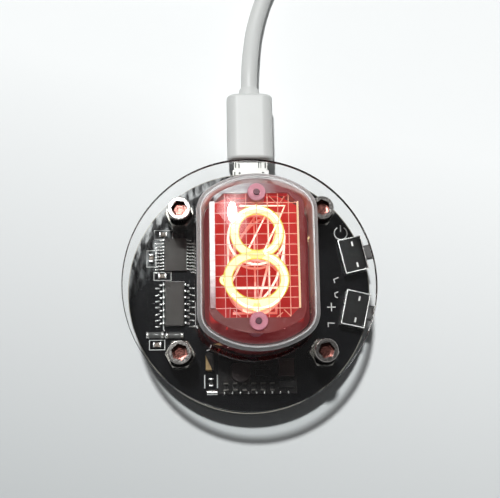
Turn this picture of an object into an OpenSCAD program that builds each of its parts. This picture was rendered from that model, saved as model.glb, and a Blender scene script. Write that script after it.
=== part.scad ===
// A desk clock with one glow-discharge figure tube.
// The tube stands on a round circuit board and passes through a clear cover plate.
// Origin: on the table, midway between the four feet. +Y runs towards the power lead, +Z is up.

/* [Circuit board] */
// Diameter of the round circuit board
board_d = 48; // [47:0.5:52]
// Thickness of the circuit board
board_t = 1.6; // [1.2:0.1:2.4]
// How far the board's centre lies south of the screw pattern's centre
board_shift = 0.6; // [0:0.1:1]

/* [Cover plate] */
// Diameter of the clear cover plate
plate_d = 48.6; // [47:0.1:52]
// Plate's centre from the board's centre, across
plate_x = -0.25; // [-0.5:0.05:0.5]
// Plate's centre from the board's centre, towards the lead
plate_y = 0.3; // [-0.5:0.05:0.5]
// Thickness of the cover plate
plate_t = 2; // [1.5:0.1:3]
// Gap between the tube and the edge of the plate's cut-out
cutout_gap = 0.35; // [0.2:0.05:0.6]

/* [Standoffs and screws] */
// Distance from screw to screw along each side of the square pattern
screw_pitch = 27.2; // [26.6:0.1:28]
// Height of the standoffs between the board and the plate
post_h = 8; // [6:0.5:10]
// Height of the standoffs under the board
foot_h = 6.5; // [6:0.5:10]
// Width across the flats of the hexagonal standoffs
hex_af = 5; // [4.5:0.1:5.5]
// Chamfer at the ends of a standoff
hex_chamfer = 0.3; // [0.1:0.1:0.5]
// Diameter of the screw thread
thread_d = 2.5; // [2:0.1:3]
// Radial gap between a thread and its hole
thread_gap = 0.03; // [0.02:0.01:0.06]
// Radial gap between a screw and the hole that it passes through
screw_clearance = 0.2; // [0.1:0.05:0.3]
// Length of the stud on top of each foot, above the board
stud_bite = 3; // [2:0.25:3.5]
// Diameter of the tapped hole in the bottom of each foot, before its thread
foot_tap_d = 2.1; // [1.6:0.05:2.3]
// Depth of the tapped hole in the bottom of each foot
foot_hole = 4.5; // [3:0.5:5]
// Length of each cap screw inside its standoff
screw_bite = 4; // [2.5:0.25:4.5]
// Diameter of the cap screw's head
head_d = 4.5; // [4:0.1:5]
// Height of the cap screw's head
head_h = 2.5; // [2:0.1:3]
// Width across the flats of the hexagon socket
socket_af = 2.5; // [2:0.1:2.8]
// Depth of the hexagon socket
socket_depth = 1.4; // [1:0.1:1.8]

/* [Tube glass] */
// Width of the glass envelope
tube_w = 21.4; // [20.8:0.1:21.8]
// Length of the glass envelope
tube_l = 31.5; // [30.8:0.1:32]
// Height of the glass envelope
tube_h = 27.3; // [26.5:0.1:29]
// Thickness of the glass
glass_t = 0.8; // [0.6:0.05:1]
// Radius of the curved ends in plan, as a share of the width
end_share = 0.7; // [0.68:0.01:0.84]
// Radius of the corners in plan
corner_r = 5; // [4.5:0.1:6]
// Radius of the edge round the front
edge_r = 3; // [2:0.1:3.4]
// Rise of the domed front
dome_h = 0.5; // [0.2:0.1:0.8]
// Gap between the board and the glass
tube_lift = 1.1; // [1:0.05:1.6]
// Tube centre from the board's centre, across
tube_x = 0.4; // [0:0.05:1]
// Tube centre from the board's centre, towards the lead
tube_y = 1.5; // [1:0.05:2]
// Thickness of the glass foot that holds the pins
stem_t = 2.4; // [2:0.1:3.5]
// Gap between the glass foot and the envelope
stem_gap = 0.05; // [0.02:0.01:0.1]
// Length of the sealed tip under the foot
tip_l = 3.4; // [2:0.1:4]
// Diameter of the sealed tip
tip_d = 3.6; // [3:0.1:4.5]

/* [Tube electrodes] */
// Electrode stack's centre from the tube's centre, across
stack_x = -0.05; // [-0.4:0.05:0.4]
// Electrode stack's centre from the tube's centre, towards the lead
stack_y = 0.8; // [0.4:0.05:1]
// Distance from each end of the envelope to the nearer support rod
rod_margin = 4.35; // [4.2:0.05:4.5]
// Diameter of a support rod
rod_d = 1; // [0.6:0.1:1.1]
// Outer diameter of the ceramic spacers
spacer_d = 3.2; // [2.8:0.1:3.4]
// Radial gap between a rod or collar and what it passes through
rod_gap = 0.05; // [0.03:0.01:0.1]
// Distance from the highest point of the glass to the front frame
front_gap = 3.6; // [3.2:0.1:4.2]
// Thickness of the cathode sheet
sheet_t = 0.25; // [0.15:0.01:0.3]
// Distance from one cathode to the next
cathode_pitch = 0.9; // [0.84:0.02:1.06]
// Distance from a support rod to the end of the numerals
figure_margin = 2.4; // [2.3:0.05:3]
// Distance from a side of the window to the side of the numerals
figure_side = 2.2; // [2:0.05:2.7]
// Width of a numeral's stroke
stroke_w = 0.4; // [0.3:0.05:0.6]
// Distance from a side of the envelope to the window in the front frame
window_side = 3.5; // [3.4:0.05:3.8]
// Distance from an end of the envelope to the window in the front frame
window_margin = 4.7; // [4.6:0.05:5]
// Window's centre from the stack's centre, across
window_x = -0.15; // [-0.3:0.05:0]
// Window's centre from the stack's centre, towards the lead
window_y = 0.35; // [0:0.05:0.4]
// Cut across the window's corners
window_cut = 1.6; // [1:0.1:2.4]
// Width of the bright rail at the left of the window
rail_w = 0.9; // [0.6:0.1:1]
// Height of the rails above the frame
rail_h = 0.5; // [0.2:0.1:0.6]
// Distance from wire to wire in the anode mesh
mesh_pitch = 1.88; // [1.6:0.02:2.4]
// Thickness of the mesh wire
mesh_wire = 0.12; // [0.08:0.01:0.2]
// Diameter of a lead wire inside the tube
wire_d = 0.3; // [0.2:0.05:0.4]

/* [Pins and sockets] */
// Number of pins along each side of the tube
pins_a_side = 6; // [4:1:6]
// Distance from pin to pin along a side
pin_step = 3.4; // [2.8:0.1:3.4]
// Distance between the two rows of pins
pin_row = 16; // [14:0.1:16.4]
// Diameter of a pin
pin_d = 1; // [0.8:0.05:1.1]
// Wall of a pin socket
socket_wall = 0.25; // [0.2:0.05:0.4]
// Width of a pin socket's rim
socket_rim = 0.25; // [0.2:0.05:0.3]
// Radial gap between a pin and its socket, and a socket and the board
pin_gap = 0.03; // [0.02:0.01:0.06]
// Length of a pin socket below the board
socket_tail = 3; // [2.5:0.1:4]

/* [Board parts] */
// Place of the controller chip
controller_at = [-14.6, 7.4]; // [-24:0.1:24]
// Place of the driver chip
driver_at = [-14.8, -2.5]; // [-24:0.1:24]
// Tantalum capacitor's place from the board's centre, across
tantalum_x = -8; // [-8.6:0.05:-7.8]
// Tantalum capacitor's centre inside the envelope's end
tantalum_inset = 0.3; // [0.05:0.05:0.35]
// Supply board's centre from the board's centre, across
supply_x = 1.2; // [0.8:0.05:1.4]
// Distance from the envelope's end back to the supply board's centre
supply_reach = 1.85; // [1.6:0.05:2]
// Width of the supply board
supply_w = 15.3; // [14:0.1:16]
// Length of the supply board
supply_l = 8.4; // [7.5:0.1:9]
// Thickness of the supply board
supply_t = 0.8; // [0.6:0.1:0.9]
// Place of the high-voltage capacitor on the supply board
reservoir_at = [5.6, 0.8]; // [-8:0.1:8]
// Place of the boost inductor on the supply board
inductor_at = [-3.3, -0.1]; // [-8:0.1:8]
// Place of the boost chip on the supply board
boost_chip_at = [1.1, -0.1]; // [-8:0.1:8]
// Place of the boost transistor on the supply board
boost_fet_at = [5.7, -2.4]; // [-8:0.1:8]
// Gap between a chip and the board
chip_lift = 0.1; // [0.05:0.05:0.2]

/* [Push switches] */
// Place of the power switch
power_at = [20.5, 6.6]; // [-24:0.1:24]
// Direction that the power button faces
power_turn = 12.5; // [0:0.5:25]
// Place of the plus switch
plus_at = [20.6, -4.2]; // [-24:0.1:24]
// Direction that the plus button faces
plus_turn = -13; // [-25:0.5:0]
// Depth of a switch, along its button
switch_l = 4.7; // [4.4:0.1:5]
// Width of a switch
switch_w = 6.9; // [6.4:0.1:7.2]
// Height of a switch
switch_h = 3.5; // [3.2:0.1:4]
// Thickness of the switch's metal frame
switch_wall = 0.2; // [0.15:0.05:0.3]
// Width of the button
button_w = 2.9; // [2.5:0.1:3.2]
// Height of the button
button_h = 1.5; // [1.2:0.1:1.8]
// How far the button stands out
button_reach = 1.4; // [0.8:0.1:1.8]
// Travel of the button
button_travel = 0.25; // [0.15:0.05:0.3]
// Gap round the button
button_gap = 0.1; // [0.08:0.01:0.15]

/* [Power inlet] */
// Place of the inlet across the board
inlet_x = 0.8; // [0:0.1:2]
// Width inside the inlet shell
inlet_w = 6.95; // [6.9:0.05:7.2]
// Height inside the inlet shell
inlet_h = 1.95; // [1.9:0.05:2.2]
// Sheet of the inlet and plug shells
shell_t = 0.25; // [0.2:0.01:0.3]
// Length of the inlet shell
inlet_l = 5.2; // [4.8:0.1:6]
// How far the inlet stands out past the board's edge
inlet_reach = 1.4; // [0.5:0.1:2]
// Gap between the inlet and the plug
plug_gap = 0.05; // [0.03:0.01:0.1]

/* [Lead] */
// Diameter of the lead
cord_d = 3.4; // [3:0.1:3.8]
// How far the plug's shell is bare between the inlet and the grip
plug_bare = 2.2; // [1:0.1:4]
// Width of the small plug's grip
grip_w = 9.9; // [8.5:0.1:10.5]
// Height of the small plug's grip
grip_h = 6.4; // [6:0.1:8]
// Length of the small plug's grip
grip_l = 14; // [11:0.1:18]
// Length of the collar behind the grip
collar_l = 1.9; // [1:0.1:3]
// Length of the large plug's shell
big_shell_l = 13; // [12:0.5:19]
// Width of the large plug's shell
big_shell_w = 12; // [11.8:0.1:12.2]
// Height of the large plug's shell
big_shell_h = 4.5; // [4.3:0.1:4.7]
// Width of the large plug's grip
big_grip_w = 15.5; // [14.5:0.5:18]
// Height of the large plug's grip
big_grip_h = 7.6; // [7:0.1:9]
// Length of the large plug's grip
big_grip_l = 22; // [18:1:30]
// Radius of the coil at the middle of its turns
coil_r = 19.9; // [18:0.1:20.4]
// Clear gap between one turn of the coil and the next
coil_gap = 0.5; // [0.42:0.01:0.6]

/* [Hidden] */
$fn = 48;

// Heights above the table
board_top = foot_h + board_t;
plate_z = board_top + post_h;
plate_top = plate_z + plate_t;
glass_z = board_top + tube_lift;
glass_top = glass_z + tube_h;

// Screws
screw_hole_r = thread_d / 2 + screw_clearance;
thread_r = thread_d / 2 - thread_gap;
hex_d = hex_af / cos(30);

// Glass outline: straight sides, a large arc at each end and a smaller one at each corner
window_w = tube_w - 2 * window_side;
window_l = tube_l - 2 * window_margin;
rod_pitch = tube_l - 2 * rod_margin;
supply_at = [supply_x, tube_y - tube_l / 2 - supply_reach];
tantalum_at = [tantalum_x, tube_y - tube_l / 2 + tantalum_inset];
figure_w = window_w - 2 * figure_side;
figure_h = rod_pitch - 2 * figure_margin;
end_r = end_share * tube_w;
end_cy = tube_l / 2 - end_r;
corner_cx = tube_w / 2 - corner_r;
corner_cy = end_cy + sqrt(pow(end_r - corner_r, 2) - pow(corner_cx, 2));
corner_a = atan2(corner_cy - end_cy, corner_cx);
corner_steps = 8;
end_steps = 4;
edge_steps = 6;
dome_steps = 3;
foot_round = 0.4;

// Stack of cathodes, front to back
stack_order = [3, 8, 9, 4, 0, 5, 7, 2, 6, 1];
frame_t = 0.25;
frame_z = glass_top - front_gap;
frame_inset = glass_t + 1.5;
mesh_gap = 0.65;
back_gap = 0.5;
back_t = 0.3;
back_inset = glass_t + 0.7;
last_layer = len(stack_order) - 1;
first_z = frame_z - mesh_gap - sheet_t;
back_z = first_z - last_layer * cathode_pitch - back_gap - back_t;
rod_y = rod_pitch / 2;
rod_hole_r = rod_d / 2 + rod_gap;
collar_r = rod_d / 2 + 0.45;
collar_hole_r = collar_r + rod_gap;
collar_share = 0.8;
ear_r = spacer_d / 2 - 0.1;
sleeve_r = rod_d / 2 + 0.7;
cap_h = 0.9;
rod_end = 0.3;
thin_rail = 0.3;
mesh_lap = 0.3;
arc_step = 12;
tab_first = 2.6;
tab_step = 1.3;
wire_hole_r = wire_d / 2 + 0.35;
anode_wire_x = stack_x + window_x + window_w / 2 + 0.75;

// Pins
stem_z = glass_z + 0.2;
stem_top = stem_z + stem_t;
pin_bottom = foot_h - socket_tail + 0.5;
pin_stub = 0.6;
socket_r = pin_d / 2 + pin_gap + socket_wall;
rim_h = 0.4;
tip_hole_r = tip_d / 2 + 0.7;
getter_r = 2.4;
getter_z = stem_top + 5;

// Chips: width, length and height of the body, leads a side, pitch, lead width and reach
controller_size = [4.4, 6.5, 0.9];
controller_leads_n = 10;
controller_pitch = 0.65;
controller_lead_w = 0.25;
driver_size = [3.9, 8.65, 1.4];
driver_leads_n = 7;
driver_pitch = 1.27;
driver_lead_w = 0.42;
lead_reach = 1;
lead_t = 0.15;
small_body = [1.3, 2.9, 1];
small_pitch = 0.95;
small_lead_w = 0.4;
small_reach = 0.55;

// Small chip parts: length, width, height and length of a metal end
chip_part = [1.6, 0.8, 0.8, 0.35];
// Places and turns on the board
capacitor_places = [[-17, 11.5, 0], [-19.4, 6.7, 90], [-17.2, 3.1, 0], [-18.2, -10.5, 0]];
resistor_row = 6;
resistor_row_start = [-6.1, -2.8];
resistor_row_step = 1.8;
resistor_single = [tantalum_x + 0.25, tantalum_at[1] - 3.95];
resistor_h = 0.5;
diode_places = [[-18.6, -8.6], [-14.8, -8.7]];
diode_l = 3.4;
diode_d = 1.4;
diode_band = 0.45;
tantalum_size = [1.7, 3.3, 1.7];
reservoir_size = [2.9, 3.4, 2];
inductor_w = 3.8;
inductor_h = 1.9;
supply_pads = 9;
supply_pad_step = 1.55;
supply_pad_r = 0.3;
transistor_x = 3.9;
transistor_step = 4;
transistor_rows = 5;

// Switch interior
fit_gap = 0.02;
body_l = switch_l - 2 * switch_wall - 2 * fit_gap;
body_w = switch_w - 2 * switch_wall - 2 * fit_gap;
body_h = switch_h - 0.15;
button_z = switch_h / 2;
button_tip = switch_l / 2 + button_reach;
flange_l = 0.6;
flange_w = button_w + 0.8;
wall_l = 0.45;
stop_gap = 0.05;
pocket_front = body_l / 2 - wall_l;
flange_front = pocket_front - stop_gap;
flange_back = flange_front - flange_l;
button_back = flange_back - 0.35;
dome_front = button_back - button_travel - 0.1;
dome_w = 2.6;
dome_rise = 0.35;
dome_t = 0.1;
pocket_back = dome_front - dome_rise - dome_t;
blade = [0.3, 0.9];
blade_y = 2.15;
blade_x = dome_front;

// Inlet and small plug, along +Y
inlet_z = foot_h - shell_t - inlet_h / 2;
inlet_front = board_d / 2 - board_shift + inlet_reach;
inlet_back = inlet_front - inlet_l;
profile_cut = 0.7;
plug_w = inlet_w - 2 * plug_gap;
plug_h = inlet_h - 2 * plug_gap;
tongue_w = 3.8;
tongue_h = 0.6;
tongue_l = 3.4;
insert_gap = 0.05;
grip_front = inlet_front + plug_bare;
grip_back = grip_front + grip_l;
collar_end = grip_back + collar_l;
collar_d = cord_d + 1.4;
plug_in = inlet_l - 1.2;
plug_x = inlet_x;

// Lead: its centreline lies cord_r above the table
cord_r = cord_d / 2;
cord_sides = 8;
coil_sides = 6;
coil_rings = 24;
coil_centre = [-7, 96.5];
coil_from = -42;
coil_turns = 7.367;
turn_step = cord_d + coil_gap;
coil_out_r = coil_r + turn_step * coil_turns / 4;
layer_rise = cord_d + coil_gap;
// Points of the lead between the collar and the coil
lead_points = [[0.9, 46.4, 5.2], [1.3, 51, 4.3], [2.3, 57.6, 2.6], [4.5, 65, 1.7], [7.8, 71.4, 1.7]];
// The tail bends back over the coil to the large plug, which lies on it
tail_bend = 15;
tail_sweep = 165;
tail_steps = 10;
tail_rise_share = 0.6;
plug_rest_gap = 0.15;
plug_rest_z = cord_d + layer_rise + plug_rest_gap + big_grip_h / 2;
tail_turn = coil_from + 360 * coil_turns + 90 + tail_sweep;

function unit(v) = v / norm(v);
function left_of(v) = [-v[1], v[0]];
function turned(p, a) = [p[0] * cos(a) - p[1] * sin(a), p[0] * sin(a) + p[1] * cos(a)];

// Outline of the glass, drawn in by inset
function corner_point(t, inset) = let (r = corner_r - inset, a = t * corner_a)
    [corner_cx + r * cos(a), corner_cy + r * sin(a)];
function end_point(t, inset) = let (r = end_r - inset, a = corner_a + t * (90 - corner_a))
    [r * cos(a), end_cy + r * sin(a)];
function quarter(inset) = concat(
    [for (i = [0 : corner_steps - 1]) corner_point(i / corner_steps, inset)],
    [for (i = [0 : end_steps - 1]) end_point(i / end_steps, inset)]);
function half_outline(q, inset) = concat(
    q, [[0, tube_l / 2 - inset]], [for (i = [len(q) - 1 : -1 : 0]) [-q[i][0], q[i][1]]]);
function outline(inset) = let (north = half_outline(quarter(inset), inset))
    concat(north, [for (p = north) -p]);

// Rings of a closed glass form: [inset, scale, height]
function glass_rings(wall, bottom, top) = let (r = edge_r - wall, shoulder = top - dome_h - r) concat(
    wall > 0 ? [[wall, 1, bottom]] : [[foot_round, 1, bottom], [0, 1, bottom + foot_round]],
    [for (i = [0 : edge_steps])
        [wall + r * (1 - cos(90 * i / edge_steps)), 1, shoulder + r * sin(90 * i / edge_steps)]],
    [for (i = [1 : dome_steps])
        let (s = cos(90 * i / (dome_steps + 1))) [edge_r, s, top - dome_h * s * s]]);

module loft(rings) {
    n = len(outline(0));
    last = len(rings) - 1;
    points = [for (ring = rings) for (p = outline(ring[0])) [p[0] * ring[1], p[1] * ring[1], ring[2]]];
    sides = [for (k = [0 : last - 1]) for (i = [0 : n - 1]) let (
        a = k * n + i,
        b = k * n + (i + 1) % n
    ) each [[a, a + n, b], [b, a + n, b + n]]];
    polyhedron(points, concat(
        sides,
        [[for (i = [0 : n - 1]) i]],
        [[for (i = [n - 1 : -1 : 0]) last * n + i]]));
}

// A strip of sheet along an open path, seen flat
function side_step(path, i) =
    i == 0 ? left_of(unit(path[1] - path[0]))
    : i == len(path) - 1 ? left_of(unit(path[i] - path[i - 1]))
    : let (a = left_of(unit(path[i] - path[i - 1])), b = left_of(unit(path[i + 1] - path[i])), m = unit(a + b))
      m / max(0.45, m * a);
module strip(path, w) {
    n = len(path);
    polygon(concat(
        [for (i = [0 : n - 1]) path[i] + side_step(path, i) * w / 2],
        [for (i = [n - 1 : -1 : 0]) path[i] - side_step(path, i) * w / 2]));
}

// An elliptical arc as points
function arc(c, r, from, to) = let (n = ceil(abs(to - from) / arc_step))
    [for (i = [0 : n]) let (a = from + (to - from) * i / n) [c[0] + r[0] * cos(a), c[1] + r[1] * sin(a)]];

// A closed elliptical ring
module ring_2d(c, r, w) {
    n = 360 / arc_step;
    outer = [for (i = [0 : n - 1]) let (a = i * arc_step)
        [c[0] + (r[0] + w / 2) * cos(a), c[1] + (r[1] + w / 2) * sin(a)]];
    inner = [for (i = [0 : n - 1]) let (a = i * arc_step)
        [c[0] + (r[0] - w / 2) * cos(a), c[1] + (r[1] - w / 2) * sin(a)]];
    polygon(concat(outer, inner), [[for (i = [0 : n - 1]) i], [for (i = [0 : n - 1]) n + i]]);
}

// A rectangle with its corners cut off
module cut_rectangle(w, l, c) {
    polygon([
        [w / 2, l / 2 - c], [w / 2 - c, l / 2], [c - w / 2, l / 2], [-w / 2, l / 2 - c],
        [-w / 2, c - l / 2], [c - w / 2, -l / 2], [w / 2 - c, -l / 2], [w / 2, c - l / 2]
    ]);
}

// A rectangle with round corners
module round_rectangle(w, h, r) {
    square([w - 2 * r, h], center = true);
    square([w, h - 2 * r], center = true);
    for (x = [-1, 1])
        for (y = [-1, 1])
            translate([x * (w / 2 - r), y * (h / 2 - r)])
                circle(r, $fn = 32);
}

module at_board(z) translate([0, -board_shift, z]) children();
module at_supply() at_board(board_top + supply_t) translate(supply_at) children();
module at_tube(z) at_board(z) translate([tube_x, tube_y, 0]) children();
module at_stack(z) at_tube(z) translate([stack_x, stack_y, 0]) children();
module at_screws(z)
    for (x = [-1, 1])
        for (y = [-1, 1])
            translate([x * screw_pitch / 2, y * screw_pitch / 2, z])
                children();
module at_rods()
    for (side = [-1, 1])
        translate([0, side * rod_y, 0])
            children();
module at_pins()
    for (side = [-1, 1])
        for (i = [0 : pins_a_side - 1])
            translate([side * pin_row / 2, (i - (pins_a_side - 1) / 2) * pin_step, 0])
                children();
// Stands a flat profile up and runs it from y0 to y1
module along_y(y0, y1) translate([0, y1, 0]) rotate([90, 0, 0]) linear_extrude(y1 - y0) children();

// ---- Plate, board and fasteners

module top_plate() {
    color("lightcyan", 0.35)
    difference() {
        at_board(plate_z)
            translate([plate_x, plate_y])
                cylinder(h = plate_t, d = plate_d, $fn = 128);
        at_tube(plate_z - 1)
            linear_extrude(plate_t + 2)
                polygon(outline(-cutout_gap));
        at_screws(plate_z - 1)
            cylinder(h = plate_t + 2, r = screw_hole_r);
    }
}

module circuit_board() {
    color("black")
    difference() {
        at_board(foot_h)
            cylinder(h = board_t, d = board_d, $fn = 128);
        at_screws(foot_h - 1)
            cylinder(h = board_t + 2, r = screw_hole_r);
        at_tube(foot_h - 1)
            at_pins()
                cylinder(h = board_t + 2, r = socket_r + pin_gap, $fn = 24);
        at_tube(foot_h - 1)
            cylinder(h = board_t + 2, r = tip_hole_r);
    }
}

module hex_post(h) {
    intersection() {
        cylinder(h = h, d = hex_d, $fn = 6);
        rotate_extrude()
            polygon([
                [0, 0], [hex_d / 2 - hex_chamfer, 0], [hex_d / 2, hex_chamfer],
                [hex_d / 2, h - hex_chamfer], [hex_d / 2 - hex_chamfer, h], [0, h]
            ]);
    }
}

module upper_standoffs() {
    color("silver")
    at_screws(board_top)
        difference() {
            hex_post(post_h);
            translate([0, 0, -1])
                cylinder(h = post_h + 2, d = thread_d);
        }
}

module foot_standoffs() {
    color("silver")
    at_screws(0) {
        difference() {
            hex_post(foot_h);
            translate([0, 0, -1])
                cylinder(h = foot_hole + 1, d = foot_tap_d);
        }
        translate([0, 0, foot_h])
            cylinder(h = board_t + stud_bite, r = thread_r);
    }
}

module cap_screws() {
    edge = 0.35;
    color("lightgray")
    at_screws(plate_top)
        difference() {
            union() {
                rotate_extrude()
                    polygon([
                        [0, 0], [head_d / 2, 0], [head_d / 2, head_h - edge],
                        [head_d / 2 - edge / 3, head_h - edge / 3], [head_d / 2 - edge, head_h], [0, head_h]
                    ]);
                translate([0, 0, -plate_t - screw_bite])
                    cylinder(h = plate_t + screw_bite, r = thread_r);
            }
            translate([0, 0, head_h - socket_depth])
                cylinder(h = socket_depth + 1, d = socket_af / cos(30), $fn = 6);
        }
}

// ---- Tube

module tube_glass() {
    color("azure", 0.3)
    at_tube(0)
        difference() {
            loft(glass_rings(0, glass_z, glass_top));
            loft(glass_rings(glass_t, glass_z - 1, glass_top - glass_t));
        }
}

module tube_stem() {
    boss_h = 0.5;
    color("lightblue", 0.6)
    at_tube(0) {
        difference() {
            union() {
                translate([0, 0, stem_z])
                    linear_extrude(stem_t)
                        polygon(outline(glass_t + stem_gap));
                translate([0, 0, stem_top])
                    at_pins()
                        cylinder(h = boss_h, r1 = pin_d, r2 = pin_d * 0.8, $fn = 24);
                translate([0, 0, stem_z - tip_l])
                    cylinder(h = tip_l, d1 = tip_d / 3, d2 = tip_d);
            }
            translate([0, 0, stem_z - 1])
                at_pins()
                    cylinder(h = stem_t + 3, r = pin_d / 2 + pin_gap, $fn = 24);
        }
    }
}

module tube_pins() {
    color("silver")
    at_tube(pin_bottom)
        at_pins()
            cylinder(h = stem_top + pin_stub - pin_bottom, d = pin_d, $fn = 24);
}

module pin_sockets() {
    color("gold")
    at_tube(0)
        at_pins()
            difference() {
                union() {
                    translate([0, 0, foot_h - socket_tail])
                        cylinder(h = socket_tail + board_t, r = socket_r, $fn = 24);
                    translate([0, 0, board_top])
                        cylinder(h = rim_h, r = socket_r + socket_rim, $fn = 24);
                }
                translate([0, 0, foot_h - socket_tail - 1])
                    cylinder(h = socket_tail + board_t + rim_h + 2, r = pin_d / 2 + pin_gap, $fn = 24);
            }
}

module anode_mesh() {
    across = floor(window_w / 2 / mesh_pitch);
    along = floor(window_l / 2 / mesh_pitch);
    color("gainsboro")
    at_stack(frame_z - mesh_wire)
        linear_extrude(mesh_wire)
            intersection() {
                translate([window_x, window_y])
                    cut_rectangle(window_w + 2 * mesh_lap, window_l + 2 * mesh_lap, window_cut);
                union() {
                    for (i = [-across : across])
                        translate([i * mesh_pitch, 0])
                            square([mesh_wire, tube_l], center = true);
                    for (i = [-along : along])
                        translate([0, window_y + i * mesh_pitch])
                            square([tube_w, mesh_wire], center = true);
                }
                difference() {
                    square([tube_w, tube_l], center = true);
                    at_rods()
                        circle(spacer_d / 2 + rod_gap);
                }
            }
}

module anode_frame() {
    rail_l = window_l - 2 * window_cut;
    color("silver") {
        difference() {
            at_stack(frame_z)
                linear_extrude(frame_t)
                    union() {
                        difference() {
                            polygon(outline(frame_inset));
                            translate([window_x, window_y])
                                cut_rectangle(window_w, window_l, window_cut);
                        }
                        at_rods()
                            circle(ear_r);
                    }
            at_stack(frame_z - 1)
                at_rods()
                    cylinder(h = frame_t + 2, r = rod_hole_r, $fn = 24);
        }
        at_stack(frame_z + frame_t)
            translate([window_x, window_y]) {
                translate([-window_w / 2 - rail_w, -rail_l / 2, 0])
                    cube([rail_w, rail_l, rail_h]);
                translate([window_w / 2, -rail_l / 2, 0])
                    cube([thin_rail, rail_l, rail_h]);
            }
    }
}

module back_plate() {
    color("indianred")
    difference() {
        at_tube(back_z)
            linear_extrude(back_t)
                polygon(outline(back_inset));
        at_stack(back_z - 1) {
            at_rods()
                cylinder(h = back_t + 2, r = rod_hole_r, $fn = 24);
            for (k = [0 : last_layer])
                translate(wire_at(k))
                    cylinder(h = back_t + 2, r = wire_hole_r, $fn = 24);
        }
        at_tube(back_z - 1)
            translate([anode_wire_x, 0, 0])
                cylinder(h = back_t + 2, r = wire_hole_r, $fn = 24);
    }
}

// Where layer k's lead wire stands: two rows beyond the numerals, the front layers farthest out
function tab_side(k) = k % 2 == 0 ? 1 : -1;
function tab_end(k) = floor(k / 2) % 2 == 0 ? 1 : -1;
function tab_reach(k) = tab_first + tab_step * (floor(last_layer / 4) - floor(k / 4));
function wire_at(k) = [tab_side(k) * tab_reach(k), tab_end(k) * rod_y];
function layer_z(k) = first_z - k * cathode_pitch;

// Half sizes of the loops that the round numerals share
big_r = [figure_w / 2, figure_h * 0.274];
small_r = [figure_w * 0.42, figure_h * 0.226];
top_y = figure_h / 2;
low_c = [0, big_r[1] - top_y];
high_c = [0, top_y - small_r[1]];

module figure_five(w) {
    strip(concat([[figure_w * 0.42, top_y], [-figure_w * 0.36, top_y]], arc(low_c, big_r, 146, -145)), w);
}

module figure_six(w) {
    ring_2d(low_c, big_r, w);
    strip(arc([figure_w * 0.35, low_c[1]], [figure_w * 0.85, top_y - low_c[1]], 180, 96), w);
}

module figure_2d(digit, w) {
    if (digit == 0) {
        difference() {
            oval(figure_w + w, figure_h + w);
            oval(figure_w - w, figure_h - w);
        }
    }
    if (digit == 1)
        strip([[-figure_w * 0.16, top_y * 0.74], [0, top_y], [0, -top_y]], w);
    if (digit == 2)
        rotate(180) figure_five(w);
    if (digit == 3) {
        strip(arc(high_c, small_r, 152, -75), w);
        strip(arc(low_c, big_r, 75, -152), w);
    }
    if (digit == 4) {
        strip([[figure_w * 0.22, -top_y], [figure_w * 0.22, top_y], [-figure_w / 2, -top_y * 0.55]], w);
        strip([[-figure_w / 2, -top_y * 0.55], [figure_w / 2, -top_y * 0.55]], w);
    }
    if (digit == 5)
        figure_five(w);
    if (digit == 6)
        figure_six(w);
    if (digit == 7)
        strip([[-figure_w * 0.46, top_y], [figure_w * 0.46, top_y], [0, -top_y]], w);
    if (digit == 8) {
        ring_2d(high_c, small_r, w);
        ring_2d(low_c, big_r, w);
    }
    if (digit == 9)
        rotate(180) figure_six(w);
}

// An upright shape with straight sides and half-round ends
module oval(w, h) {
    polygon(concat(arc([0, h / 2 - w / 2], [w / 2, w / 2], 0, 180), arc([0, w / 2 - h / 2], [w / 2, w / 2], 180, 360)));
}

// Where a numeral's stroke meets its top neck; the bottom one is named for the same numeral
function neck_top(digit) = digit == 4 ? figure_w * 0.22 : digit == 6 ? figure_w * 0.26 : 0;
function neck_bottom(digit) = digit == 4 ? figure_w * 0.22 : digit == 9 ? -figure_w * 0.26 : 0;

module cathode(digit) {
    k = search(digit, stack_order)[0];
    neck_end = rod_y - ear_r + stroke_w / 2;
    color("lightgray")
    at_stack(layer_z(k))
        linear_extrude(sheet_t)
            difference() {
                union() {
                    figure_2d(digit, stroke_w);
                    strip([[neck_top(digit), top_y], [0, neck_end]], stroke_w);
                    strip([[neck_bottom(digit), -top_y], [0, -neck_end]], stroke_w);
                    at_rods()
                        circle(ear_r);
                    strip([[0, wire_at(k)[1]], wire_at(k) + [tab_side(k) * wire_d, 0]], 2 * wire_d);
                }
                at_rods()
                    circle(collar_hole_r, $fn = 24);
            }
}

// A ceramic ring with a collar that stands up into the sheet above it
module spacer(z0, z1, collar) {
    translate([0, 0, z0])
        difference() {
            union() {
                cylinder(h = z1 - z0, d = spacer_d);
                cylinder(h = z1 - z0 + collar, r = collar_r);
            }
            translate([0, 0, -1])
                cylinder(h = z1 - z0 + collar + 2, r = rod_hole_r, $fn = 24);
        }
}

module ceramic_spacers() {
    color("pink")
    at_stack(0)
        at_rods() {
            difference() {
                translate([0, 0, stem_top])
                    cylinder(h = back_z - stem_top, r = sleeve_r);
                translate([0, 0, stem_top - 1])
                    cylinder(h = back_z - stem_top + 2, r = rod_hole_r, $fn = 24);
            }
            spacer(back_z + back_t, layer_z(last_layer), sheet_t * collar_share);
            for (k = [1 : last_layer])
                spacer(layer_z(k) + sheet_t, layer_z(k - 1), sheet_t * collar_share);
            spacer(first_z + sheet_t, frame_z, 0);
            spacer(frame_z + frame_t, frame_z + frame_t + cap_h, 0);
        }
}

module support_rods() {
    color("silver")
    at_stack(stem_top)
        at_rods()
            cylinder(h = frame_z + frame_t + cap_h + rod_end - stem_top, d = rod_d, $fn = 24);
}

module lead_wires() {
    color("silver") {
        at_stack(stem_top)
            for (k = [0 : last_layer])
                translate(wire_at(k))
                    cylinder(h = layer_z(k) - stem_top, d = wire_d, $fn = 16);
        at_tube(stem_top)
            translate([anode_wire_x, 0, 0])
                cylinder(h = frame_z - stem_top, d = wire_d, $fn = 16);
    }
}

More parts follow.
